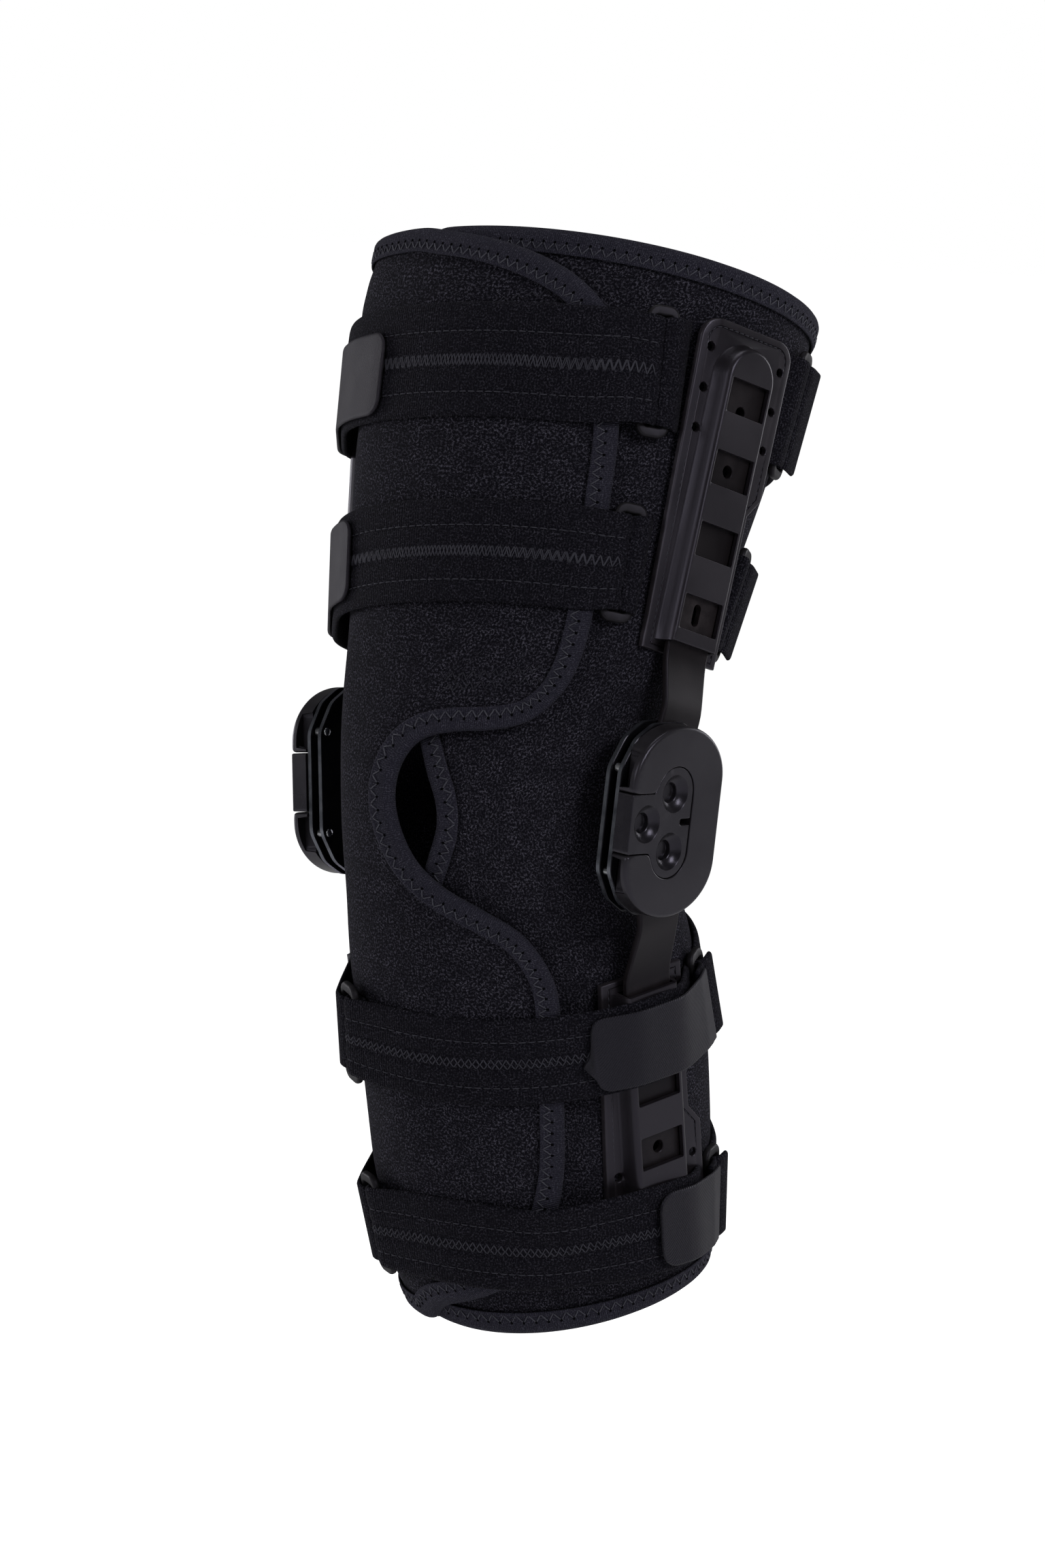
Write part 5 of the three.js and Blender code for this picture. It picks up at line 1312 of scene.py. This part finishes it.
def stepped_rows(loop, rows, bottom, scale=1.0):
    """Loops set in from an edge line; rows are inset and height, scaled by place along the line."""
    inner = inner_normals(loop)
    scale = np.broadcast_to(scale, len(loop))
    return [with_heights(loop + inner * (d * scale)[:, None], h * scale, bottom) for d, h in rows]


# Shares of a rounded edge's radius at which it has a row.
ROUND_SHARES = (0, 0.1, 0.28, 0.55, 1.0)


def edge_rows(radius):
    return [(d * radius, -radius * (1 - math.sqrt(1 - (1 - d)**2))) for d in ROUND_SHARES]


def make_cover(name, hinge, look):
    """Outer shell of a hinge, open at the front for the stop insert."""
    w, straight, rise = HINGE["half"], HINGE["straight"], HINGE["rise"]
    lower, upper = insert_edge(SEAT)
    half = INSERT["half"] + SEAT
    over = [(w * math.cos(a), straight + rise * math.sin(a)) for a in np.linspace(math.pi, 0, 41)]
    below = [(w * math.cos(a), -straight - rise * math.sin(a)) for a in np.linspace(0, math.pi, 41)]
    edge = loop_through([(-w, half), *over, *below, (-w, -half), *lower, *upper], spacing=0.8,
                        rounds=5)
    x, high = edge[:, 0], np.abs(edge[:, 1])
    at_insert = (high < half + AT_INSERT["above"]) & (high < AT_INSERT["high"])
    at_insert &= (x > -w + AT_INSERT["front"]) & (x < w - AT_INSERT["rear"])
    at_insert &= (x / w)**2 + (np.maximum(high - straight, 0) / rise)**2 < AT_INSERT["share"]
    scale = eased(np.where(at_insert, INSERT_SHARE, 1.0), 4)
    loops = stepped_rows(edge, edge_rows(COVER_ROUND), -COVER_THICK, scale)
    lines = []
    for side in (1, -1):
        for x, bottom in NOTCH_LINES:
            ys = np.linspace(*NOTCH["line"], 6) * side
            lines.append(with_heights(np.stack([np.full(6, x), ys], 1), 0, bottom))
    for loop in loops:
        high = np.abs(loop[:, 1])
        notch = (loop[:, 0] < NOTCH["x"]) & (high > NOTCH["low"]) & (high < NOTCH["high"])
        loop[notch, 3] = NOTCH["floor"]
    add_placed(f"{name}_hinge_shell", terrace(loops, lines), hinge, look["shell"], "hinge_shell",
               f"{name}_hinge_cover", sharp=40)


def make_stop_insert(name, hinge, look):
    """Insert with three recesses and a slot at its rear."""
    w = HINGE["half"]
    lower, upper = insert_edge(0)
    rear = INSERT["x"] + INSERT["lobe"]
    start, half = SLOT["start"], SLOT["half"]
    notch = [(rear, -half), (start, -half), (start, half), (rear, half)]
    front = [(-w, INSERT["half"]), (-w, -INSERT["half"])]
    edge = loop_through([*front, *lower, *notch, *upper], spacing=0.7, rounds=1)
    loops = stepped_rows(edge, edge_rows(INSERT_ROUND), -COVER_THICK)
    for x, y in RECESSES:
        loops += [with_heights(circle(x, y, r, 40), -d, -COVER_THICK) for r, d in RECESS_ROWS]
    form = terrace(loops)
    form[0][:, 2] += np.where(form[0][:, 2] > -COVER_THICK + 0.5, INSERT["top"], 0)
    add_placed(f"{name}_stop_piece", form, hinge, look["insert"], "hinge_shell", f"{name}_stop_insert",
               sharp=40)


def make_plates(name, hinge, look):
    """Outer and inner plate, with bright cut edges."""
    corners = [(PLATE["half"], PLATE["flat"]), PLATE["shoulder"], PLATE["top"]]
    ring = corners + [(-x, y) for x, y in corners[::-1]]
    ring += [(-x, -y) for x, y in ring]
    edge = loop_through(ring, spacing=1.0, rounds=6)
    for label, top in (("outer", OUTER_PLATE_TOP), ("inner", INNER_PLATE_TOP)):
        loops = [with_heights(edge + inner_normals(edge) * d, h, -PLATE["thick"] - h)
                 for d, h in PLATE_ROWS]
        form = terrace(loops)
        add_placed(f"{name}_{label}_side_plate", form, hinge, look["plate"], "plate_metal",
                   f"{name}_{label}_plate", (0, 0, top), sharp=30, edge=(look["plate_edge"], form[2]))


def make_pins(name, hinge, look):
    """Spacers between the plates, the pad stud, and the rivet heads on the inner plate."""
    low, high = INNER_PLATE_TOP + SEAT, OUTER_PLATE_TOP - PLATE["thick"] - SEAT
    ends = [(r, low + h) for r, h in SPACER_ROWS] + [(r, high - h) for r, h in SPACER_ROWS[::-1]]
    for label, way in (("upper", 1), ("lower", -1)):
        shift = (SPACER_AT[0], way * SPACER_AT[1] * np.sign(hinge["along"][2]), 0)
        add_placed(f"{name}_{label}_pin", turned(ends), hinge, look["steel"], "bright_steel",
                   f"{name}_{label}_spacer", shift, sharp=40)
    floor = INNER_PLATE_TOP - PLATE["thick"]
    stud = turned([(r, floor - SEAT - d) for r, d in STUD_ROWS])
    add_placed(f"{name}_stud_head", stud, hinge, look["steel"], "bright_steel", f"{name}_pad_stud",
               (STUD["x"], 0, 0), sharp=40)
    heads = []
    for x, y in (SPACER_AT, RIVET_AT):
        for way in (1, -1):
            points, faces = turned([(r, floor + h) for r, h in RIVET_ROWS], 20)
            points = placed(points, hinge, (x, way * y, 0))
            heads.append((points, outward(points, faces)))
    points, faces = joined(heads)
    add_piece(f"{name}_rivet_heads", points, faces, look["steel"], "bright_steel", sharp=40)


# Finishes: shared surface patterns as node groups, then one material for each finish.

def put(tree, kind, sockets=None, **settings):
    """New node with its settings and its sockets filled or linked."""
    made = tree.nodes.new("ShaderNode" + kind)
    for key, value in settings.items():
        setattr(made, key, value)
    for key, value in (sockets or {}).items():
        if isinstance(value, bpy.types.NodeSocket):
            tree.links.new(value, made.inputs[key])
        else:
            made.inputs[key].default_value = value
    return made


def math_node(tree, operation, a, b):
    return put(tree, "Math", {0: a, 1: b}, operation=operation).outputs[0]


def spread(tree, value, low, high, first=0.0, last=1.0):
    return put(tree, "MapRange", {"Value": value, "From Min": low, "From Max": high, "To Min": first,
                                  "To Max": last}).outputs["Result"]


def new_group(name, inputs, outputs):
    tree = bpy.data.node_groups.new(name, "ShaderNodeTree")
    for label, default in inputs:
        kind = "NodeSocketVector" if default is None else "NodeSocketFloat"
        socket = tree.interface.new_socket(label, in_out="INPUT", socket_type=kind)
        if default is not None:
            socket.default_value = default
    for label in outputs:
        tree.interface.new_socket(label, in_out="OUTPUT", socket_type="NodeSocketFloat")
    return tree, tree.nodes.new("NodeGroupInput").outputs, tree.nodes.new("NodeGroupOutput").inputs


def noise(tree, vector, scale, detail=2.0, roughness=0.5):
    return put(tree, "TexNoise", {"Vector": vector, "Scale": scale, "Detail": detail,
                                  "Roughness": roughness}).outputs[0]


def pile_group():
    """Brushed pile: light fibre ends in loose clusters."""
    sockets = (("Vector", None), ("Fibres", 1600.0), ("Clusters", 160.0))
    tree, given, result = new_group("brushed_pile", sockets, ("Specks", "Height"))
    fibres = noise(tree, given["Vector"], given["Fibres"], 2.0, 0.65)
    finer = noise(tree, given["Vector"], math_node(tree, "MULTIPLY", given["Fibres"], 2.1), 1.0)
    clusters = spread(tree, noise(tree, given["Vector"], given["Clusters"], 2.0), 0.34, 0.68, 0.45, 1.0)
    specks = spread(tree, math_node(tree, "ADD", math_node(tree, "MULTIPLY", fibres, 0.7),
                                    math_node(tree, "MULTIPLY", finer, 0.3)), 0.49, 0.64)
    tree.links.new(math_node(tree, "MULTIPLY", specks, clusters), result["Specks"])
    tree.links.new(math_node(tree, "ADD", math_node(tree, "MULTIPLY", fibres, 0.6),
                             math_node(tree, "MULTIPLY", clusters, 0.4)), result["Height"])
    return tree


def rib_group():
    """Even ribs along a cloth; Lean slants them, Waver makes them less even."""
    sockets = (("Vector", None), ("Pitch", 0.001), ("Lean", 0.0), ("Waver", 0.1))
    tree, given, result = new_group("ribs", sockets, ("Height",))
    parts = put(tree, "SeparateXYZ", {0: given["Vector"]}).outputs
    place = math_node(tree, "ADD", parts[0], math_node(tree, "MULTIPLY", parts[1], given["Lean"]))
    turns = math_node(tree, "DIVIDE", place, given["Pitch"])
    off = math_node(tree, "MULTIPLY", noise(tree, given["Vector"], 300.0), given["Waver"])
    phase = math_node(tree, "MULTIPLY", math_node(tree, "ADD", turns, off), 2 * math.pi)
    wave = put(tree, "Math", {0: phase}, operation="SINE").outputs[0]
    tree.links.new(spread(tree, wave, -1.0, 1.0), result["Height"])
    return tree


def grain_group():
    """Fine grain of a moulded or coated face, with a slow change of shade."""
    sockets = (("Vector", None), ("Grains", 1500.0), ("Clouds", 22.0))
    tree, given, result = new_group("fine_grain", sockets, ("Height", "Shade"))
    tree.links.new(noise(tree, given["Vector"], given["Grains"], 2.0, 0.6), result["Height"])
    clouds = noise(tree, given["Vector"], given["Clouds"], 3.0)
    tree.links.new(spread(tree, clouds, 0.3, 0.7), result["Shade"])
    return tree


def wear_and_highlight_group():
    """Mask of rubbed corners and painted edge highlights: where the form is most convex, broken up by noise.
    """
    tree, given, result = new_group("edge_wear_and_highlights", (("Vector", None), ("Low", 0.52), ("High", 0.60)), ("Mask",))
    point = tree.nodes.new("ShaderNodeNewGeometry").outputs["Pointiness"]
    mask = spread(tree, point, given["Low"], given["High"])
    broken = spread(tree, noise(tree, given["Vector"], 180.0, 3.0), 0.3, 0.62, 0.25, 1.0)
    tree.links.new(math_node(tree, "MULTIPLY", mask, broken), result["Mask"])
    return tree


def lint_group():
    """Sparse lint and dust specks."""
    tree, given, result = new_group("lint", (("Vector", None), ("Spacing", 220.0), ("Size", 0.05)), ("Mask",))
    cells = put(tree, "TexVoronoi", {"Vector": given["Vector"], "Scale": given["Spacing"]})
    dots = spread(tree, cells.outputs["Distance"], given["Size"], 0.0)
    patches = spread(tree, noise(tree, given["Vector"], 35.0, 2.0), 0.5, 0.66)
    tree.links.new(math_node(tree, "MULTIPLY", dots, patches), result["Mask"])
    return tree


PILE, RIBS, GRAIN, WEAR_AND_HIGHLIGHT, LINT = pile_group(), rib_group(), grain_group(), wear_and_highlight_group(), lint_group()


def new_material(name, specular, tint=(0.93, 0.88, 1.12), **constants):
    material = bpy.data.materials.new(name)
    material.use_nodes = True
    tree = material.node_tree
    shader = tree.nodes["Principled BSDF"]
    shader.inputs["Specular IOR Level"].default_value = specular
    shader.inputs["Specular Tint"].default_value = (*tint, 1)
    for key, value in constants.items():
        shader.inputs[key.replace("_", " ")].default_value = value
    return material, tree, shader


def blended(tree, share, dark, light):
    mix = put(tree, "Mix", data_type="RGBA")
    tree.links.new(share, mix.inputs[0])
    for index, colour in ((6, dark), (7, light)):
        if isinstance(colour, bpy.types.NodeSocket):
            tree.links.new(colour, mix.inputs[index])
        else:
            mix.inputs[index].default_value = (*colour, 1)
    return mix.outputs[2]


LINT_ON_CLOTH, LINT_ON_HARD = (0.10, 0.10, 0.105), (0.09, 0.09, 0.095)


def cloth_look(name, dark, light, fibres, clusters, bump, ribs=None, roughness=(0.8, 1.0), specular=0.14,
               sheen=0.03):
    """Cloth: pile specks and, where ribs gives pitch, lean, waver and share, woven ribs with painted shade in
    their valleys.
    """
    material, tree, shader = new_material(name, specular, Sheen_Weight=sheen, Sheen_Roughness=0.45)
    uv = put(tree, "UVMap", uv_map="cloth").outputs[0]
    pile = put(tree, "Group", node_tree=PILE)
    for key, value in (("Fibres", fibres), ("Clusters", clusters)):
        pile.inputs[key].default_value = value
    tree.links.new(uv, pile.inputs["Vector"])
    height = pile.outputs["Height"]
    colour = blended(tree, pile.outputs["Specks"], dark, light)
    if ribs:
        pitch, lean, waver, share = ribs
        rib = put(tree, "Group", node_tree=RIBS)
        for key, value in (("Pitch", pitch), ("Lean", lean), ("Waver", waver)):
            rib.inputs[key].default_value = value
        tree.links.new(uv, rib.inputs["Vector"])
        height = math_node(tree, "ADD", math_node(tree, "MULTIPLY", height, 1 - share),
                           math_node(tree, "MULTIPLY", rib.outputs["Height"], share))
        # Painted shade: the rib valleys, where Height is low, are mixed toward a darker copy of the dark
        # colour.
        colour = blended(tree, spread(tree, rib.outputs["Height"], 0.0, 0.6, share * 0.6, 0.0), colour,
                         [c * 0.35 for c in dark])
    lint = put(tree, "Group", node_tree=LINT)
    tree.links.new(uv, lint.inputs["Vector"])
    colour = blended(tree, lint.outputs["Mask"], colour, LINT_ON_CLOTH)
    tree.links.new(colour, shader.inputs["Base Color"])
    tree.links.new(spread(tree, pile.outputs["Height"], 0.2, 0.8, *roughness), shader.inputs["Roughness"])
    relief = put(tree, "Bump", {"Strength": 0.8, "Distance": bump, "Height": height})
    tree.links.new(relief.outputs[0], shader.inputs["Normal"])
    return material


def hard_look(name, dark, light, roughness, grains, bump, wear_and_highlight, metal=0.0, specular=0.4, coat=0.0):
    """Moulded, coated or bare hard face: grain, slow shade, and rubbed corners that also carry painted
    highlights on convex edges.
    """
    material, tree, shader = new_material(name, specular, Metallic=metal, Coat_Weight=coat,
                                          Coat_Roughness=0.12)
    place = put(tree, "TexCoord").outputs["Object"]
    grain = put(tree, "Group", node_tree=GRAIN)
    grain.inputs["Grains"].default_value = grains
    convex_edges = put(tree, "Group", node_tree=WEAR_AND_HIGHLIGHT)
    lint = put(tree, "Group", node_tree=LINT)
    for one in (grain, convex_edges, lint):
        tree.links.new(place, one.inputs["Vector"])
    shade = math_node(tree, "MULTIPLY", grain.outputs["Shade"], 0.22)
    # The convex-edge mask lightens the colour: part rubbed wear, part painted edge highlight.
    rubbed_and_lit = math_node(tree, "MULTIPLY", convex_edges.outputs["Mask"], wear_and_highlight)
    share = put(tree, "Math", {0: shade, 1: rubbed_and_lit}, operation="ADD", use_clamp=True).outputs[0]
    colour = blended(tree, lint.outputs["Mask"], blended(tree, share, dark, light), LINT_ON_HARD)
    tree.links.new(colour, shader.inputs["Base Color"])
    tree.links.new(spread(tree, grain.outputs["Shade"], 0.0, 1.0, *roughness), shader.inputs["Roughness"])
    relief = put(tree, "Bump", {"Strength": 0.5, "Distance": bump, "Height": grain.outputs["Height"]})
    tree.links.new(relief.outputs[0], shader.inputs["Normal"])
    return material


# Thread: roughness, grains and relief.
THREAD = ((0.55, 0.7), 2500, 0.0001)
LOOK = {
    "cloth": cloth_look("sleeve_cloth", (0.0061, 0.0058, 0.0087), (0.108, 0.103, 0.136), 1000, 130, 0.0008,
                        specular=0.07, sheen=0.012),
    "tape": cloth_look("edge_tape", (0.0236, 0.0226, 0.0350), (0.116, 0.112, 0.150), 1500, 260, 0.0006,
                       (0.00086, 0.0, 0.05, 0.6), specular=0.10, sheen=0.03),
    "strap": cloth_look("plush_strap", (0.0055, 0.0052, 0.0079), (0.063, 0.060, 0.079), 1130, 200, 0.0008,
                        (0.00125, 0.0, 0.25, 0.3), specular=0.08, sheen=0.015),
    "hook": cloth_look("hook_tape", (0.026, 0.0235, 0.029), (0.046, 0.042, 0.051), 2600, 90, 0.00025,
                       (0.0009, 0.0, 0.1, 0.15), (0.5, 0.62), 0.2, 0.0),
    "twill": cloth_look("twill_tape", (0.0080, 0.0075, 0.0105), (0.030, 0.029, 0.038), 2200, 120, 0.0004,
                        (0.0012, 0.8, 0.05, 0.55), (0.45, 0.6), 0.35, 0.03),
    "thread": hard_look("thread", (0.027, 0.027, 0.035), (0.066, 0.066, 0.081), *THREAD, 0.6, specular=0.3),
    "tape_thread": hard_look("tape_thread", (0.042, 0.042, 0.054), (0.090, 0.090, 0.110), *THREAD, 0.6,
                             specular=0.3),
    "flap_thread": hard_look("flap_thread", (0.011, 0.011, 0.015), (0.040, 0.040, 0.050), *THREAD, 0.6,
                             specular=0.2),
    # Near-black finish of the discs that paint the shade in the edge tape's stitch dents.
    "painted_dent_shade": hard_look("painted_dent_shade", (0.0016, 0.0016, 0.0020), (0.006, 0.006, 0.008), (0.8, 0.9),
                             2500, 0.0001, 0.2, specular=0.02),
    "ring": hard_look("ring_plastic", (0.0070, 0.0065, 0.0070), (0.034, 0.032, 0.033), (0.42, 0.54),
                      2200, 0.00004, 0.5, specular=0.24),
    "moulding": hard_look("channel_moulding", (0.0085, 0.0069, 0.0088), (0.050, 0.044, 0.051), (0.32, 0.42),
                          2600, 0.00005, 0.6, specular=0.5),
    "shell": hard_look("hinge_shell", (0.0085, 0.0076, 0.0090), (0.050, 0.047, 0.052), (0.27, 0.37),
                       2600, 0.00004, 0.6, specular=0.5),
    "insert": hard_look("stop_insert", (0.0058, 0.0052, 0.0066), (0.050, 0.047, 0.053), (0.22, 0.32),
                        2600, 0.00004, 0.7, specular=0.48),
    "bar": hard_look("bar_metal", (0.0038, 0.0030, 0.0034), (0.060, 0.050, 0.054), (0.30, 0.40),
                     1800, 0.00004, 0.6, specular=0.19),
    "plate": hard_look("gloss_plate", (0.0024, 0.0024, 0.0030), (0.018, 0.018, 0.022), (0.15, 0.23),
                       1500, 0.00002, 0.4, specular=0.22, coat=0.06),
    # Bare cut edges of the plates; the convex-edge mask paints thin bright highlight lines along them.
    "plate_edge": hard_look("plate_edge", (0.045, 0.048, 0.060), (0.38, 0.40, 0.45), (0.2, 0.32),
                            1500, 0.00003, 0.7, 0.9),
    "steel": hard_look("bright_steel", (0.30, 0.31, 0.33), (0.6, 0.61, 0.63), (0.2, 0.34),
                       1500, 0.00003, 0.5, 1.0),
}

# The brace

# Height above and below the hinge at which the channels start.
CHANNEL_FROM = 66
panel_edge = panel_outline(EDGE_SPACING)
by_edge = beside_edge(panel_edge)
sleeve = make_panel(panel_edge, LOOK)
tape, along_tape = make_tape(by_edge, LOOK)
tape_stitches = sew_tape(by_edge, along_tape, LOOK)
flap_stitches = sew_flap(LOOK)
channels = [channel_frame(s, z) for s in (1, -1) for z in (CHANNEL_FROM, -CHANNEL_FROM)]
for name, set_ in STRAPS.items():
    make_strap_set(name, set_, channels, LOOK)
for side, label in ((1, "right"), (-1, "left")):
    hinge = hinge_frame(side)
    for make in (make_cover, make_stop_insert, make_plates, make_pins):
        make(label, hinge, LOOK)
    for part, channel in zip(("thigh", "calf"), channels[:2] if side > 0 else channels[2:]):
        make_channel(f"{label}_{part}", channel, LOOK)
        make_bar(f"{label}_{part}", channel, hinge, LOOK)

# Stage: pale floor, soft studio light, camera at the photograph's angle.
FLOOR_REACH, FLOOR_LEVEL = 90, -0.42
floor_mesh = bpy.data.meshes.new("floor")
floor_mesh.from_pydata([(x * FLOOR_REACH, y * FLOOR_REACH, FLOOR_LEVEL)
                        for x, y in ((-1, -1), (1, -1), (1, 1), (-1, 1))], [], [(0, 1, 2, 3)])
floor = bpy.data.objects.new("floor", floor_mesh)
bpy.context.scene.collection.objects.link(floor)
pale, tree, shader = new_material("pale_floor", 0.1, Roughness=0.9, Emission_Strength=1.0)
shade = spread(tree, noise(tree, put(tree, "TexCoord").outputs["Object"], 3.0), 0.3, 0.7)
tree.links.new(blended(tree, shade, (0.86, 0.86, 0.86), (0.88, 0.88, 0.88)), shader.inputs["Base Color"])
lit = put(tree, "LightPath").outputs["Is Camera Ray"]
tree.links.new(blended(tree, lit, (0.06, 0.06, 0.06), (1.0, 1.0, 1.0)), shader.inputs["Emission Color"])
floor.data.materials.append(pale)

AZIMUTH, ELEVATION, ROLL, DISTANCE = 41.6 * DEG, 5.2 * DEG, -2.55 * DEG, 2.7
toward = np.array([math.sin(AZIMUTH) * math.cos(ELEVATION), -math.cos(AZIMUTH) * math.cos(ELEVATION),
                   math.sin(ELEVATION)])
level = np.array([math.cos(AZIMUTH), math.sin(AZIMUTH), 0.0])
above = np.cross(toward, level)
right = level * math.cos(ROLL) - above * math.sin(ROLL)
up = above * math.cos(ROLL) + level * math.sin(ROLL)
# Fitted view in pixels of the photograph: its size, the focal length and the middle of the view.
PHOTO_WIDTH, PHOTO_HEIGHT, FOCAL, MIDDLE = 1536, 2304, 9450, (738, 1177)
SENSOR = 36.0
view = bpy.data.cameras.new("photo_view")
view.sensor_fit = "VERTICAL"
view.sensor_height = SENSOR
view.lens = FOCAL / PHOTO_HEIGHT * SENSOR
view.shift_x = (PHOTO_WIDTH / 2 - MIDDLE[0]) / PHOTO_HEIGHT
view.shift_y = (MIDDLE[1] - PHOTO_HEIGHT / 2) / PHOTO_HEIGHT
view.clip_end = 200
camera = bpy.data.objects.new("photo_view", view)
pose = Matrix((right, up, toward)).transposed().to_4x4()
pose.translation = Vector(toward * DISTANCE)
camera.matrix_world = pose
bpy.context.scene.collection.objects.link(camera)
bpy.context.scene.camera = camera
bpy.context.scene.view_settings.view_transform = "Standard"

# Strength of the white surroundings as light; they are seen at full strength.
ROOM_LIGHT = 0.075
world = bpy.data.worlds.new("studio")
world.use_nodes = True
tree = world.node_tree
background = tree.nodes["Background"]
seen = put(tree, "LightPath").outputs["Is Camera Ray"]
background.inputs["Color"].default_value = (1, 1, 1, 1)
tree.links.new(spread(tree, seen, 0.0, 1.0, ROOM_LIGHT, 1.0), background.inputs["Strength"])
bpy.context.scene.world = world


def add_light(name, sideways, upward, nearer, size, power):
    """Square soft box aimed at the brace, placed in metres along the camera's right, up and toward axes."""
    light = bpy.data.lights.new(name, "AREA")
    light.energy = power
    light.size = size
    lamp = bpy.data.objects.new(name, light)
    lamp.location = Vector(right * sideways + up * upward + toward * nearer)
    lamp.rotation_euler = (-lamp.location).to_track_quat("-Z", "Y").to_euler()
    bpy.context.scene.collection.objects.link(lamp)


add_light("key_box", 1.5, 1.0, 1.7, 0.9, 17.8)
add_light("fill_box", -1.6, 0.7, 1.5, 1.0, 6.4)
add_light("top_box", 0.0, 2.2, -0.2, 1.2, 7)
add_light("left_rim", -1.8, 0.3, -1.0, 0.9, 13)
add_light("right_rim", 1.8, 0.4, -1.1, 0.9, 9)
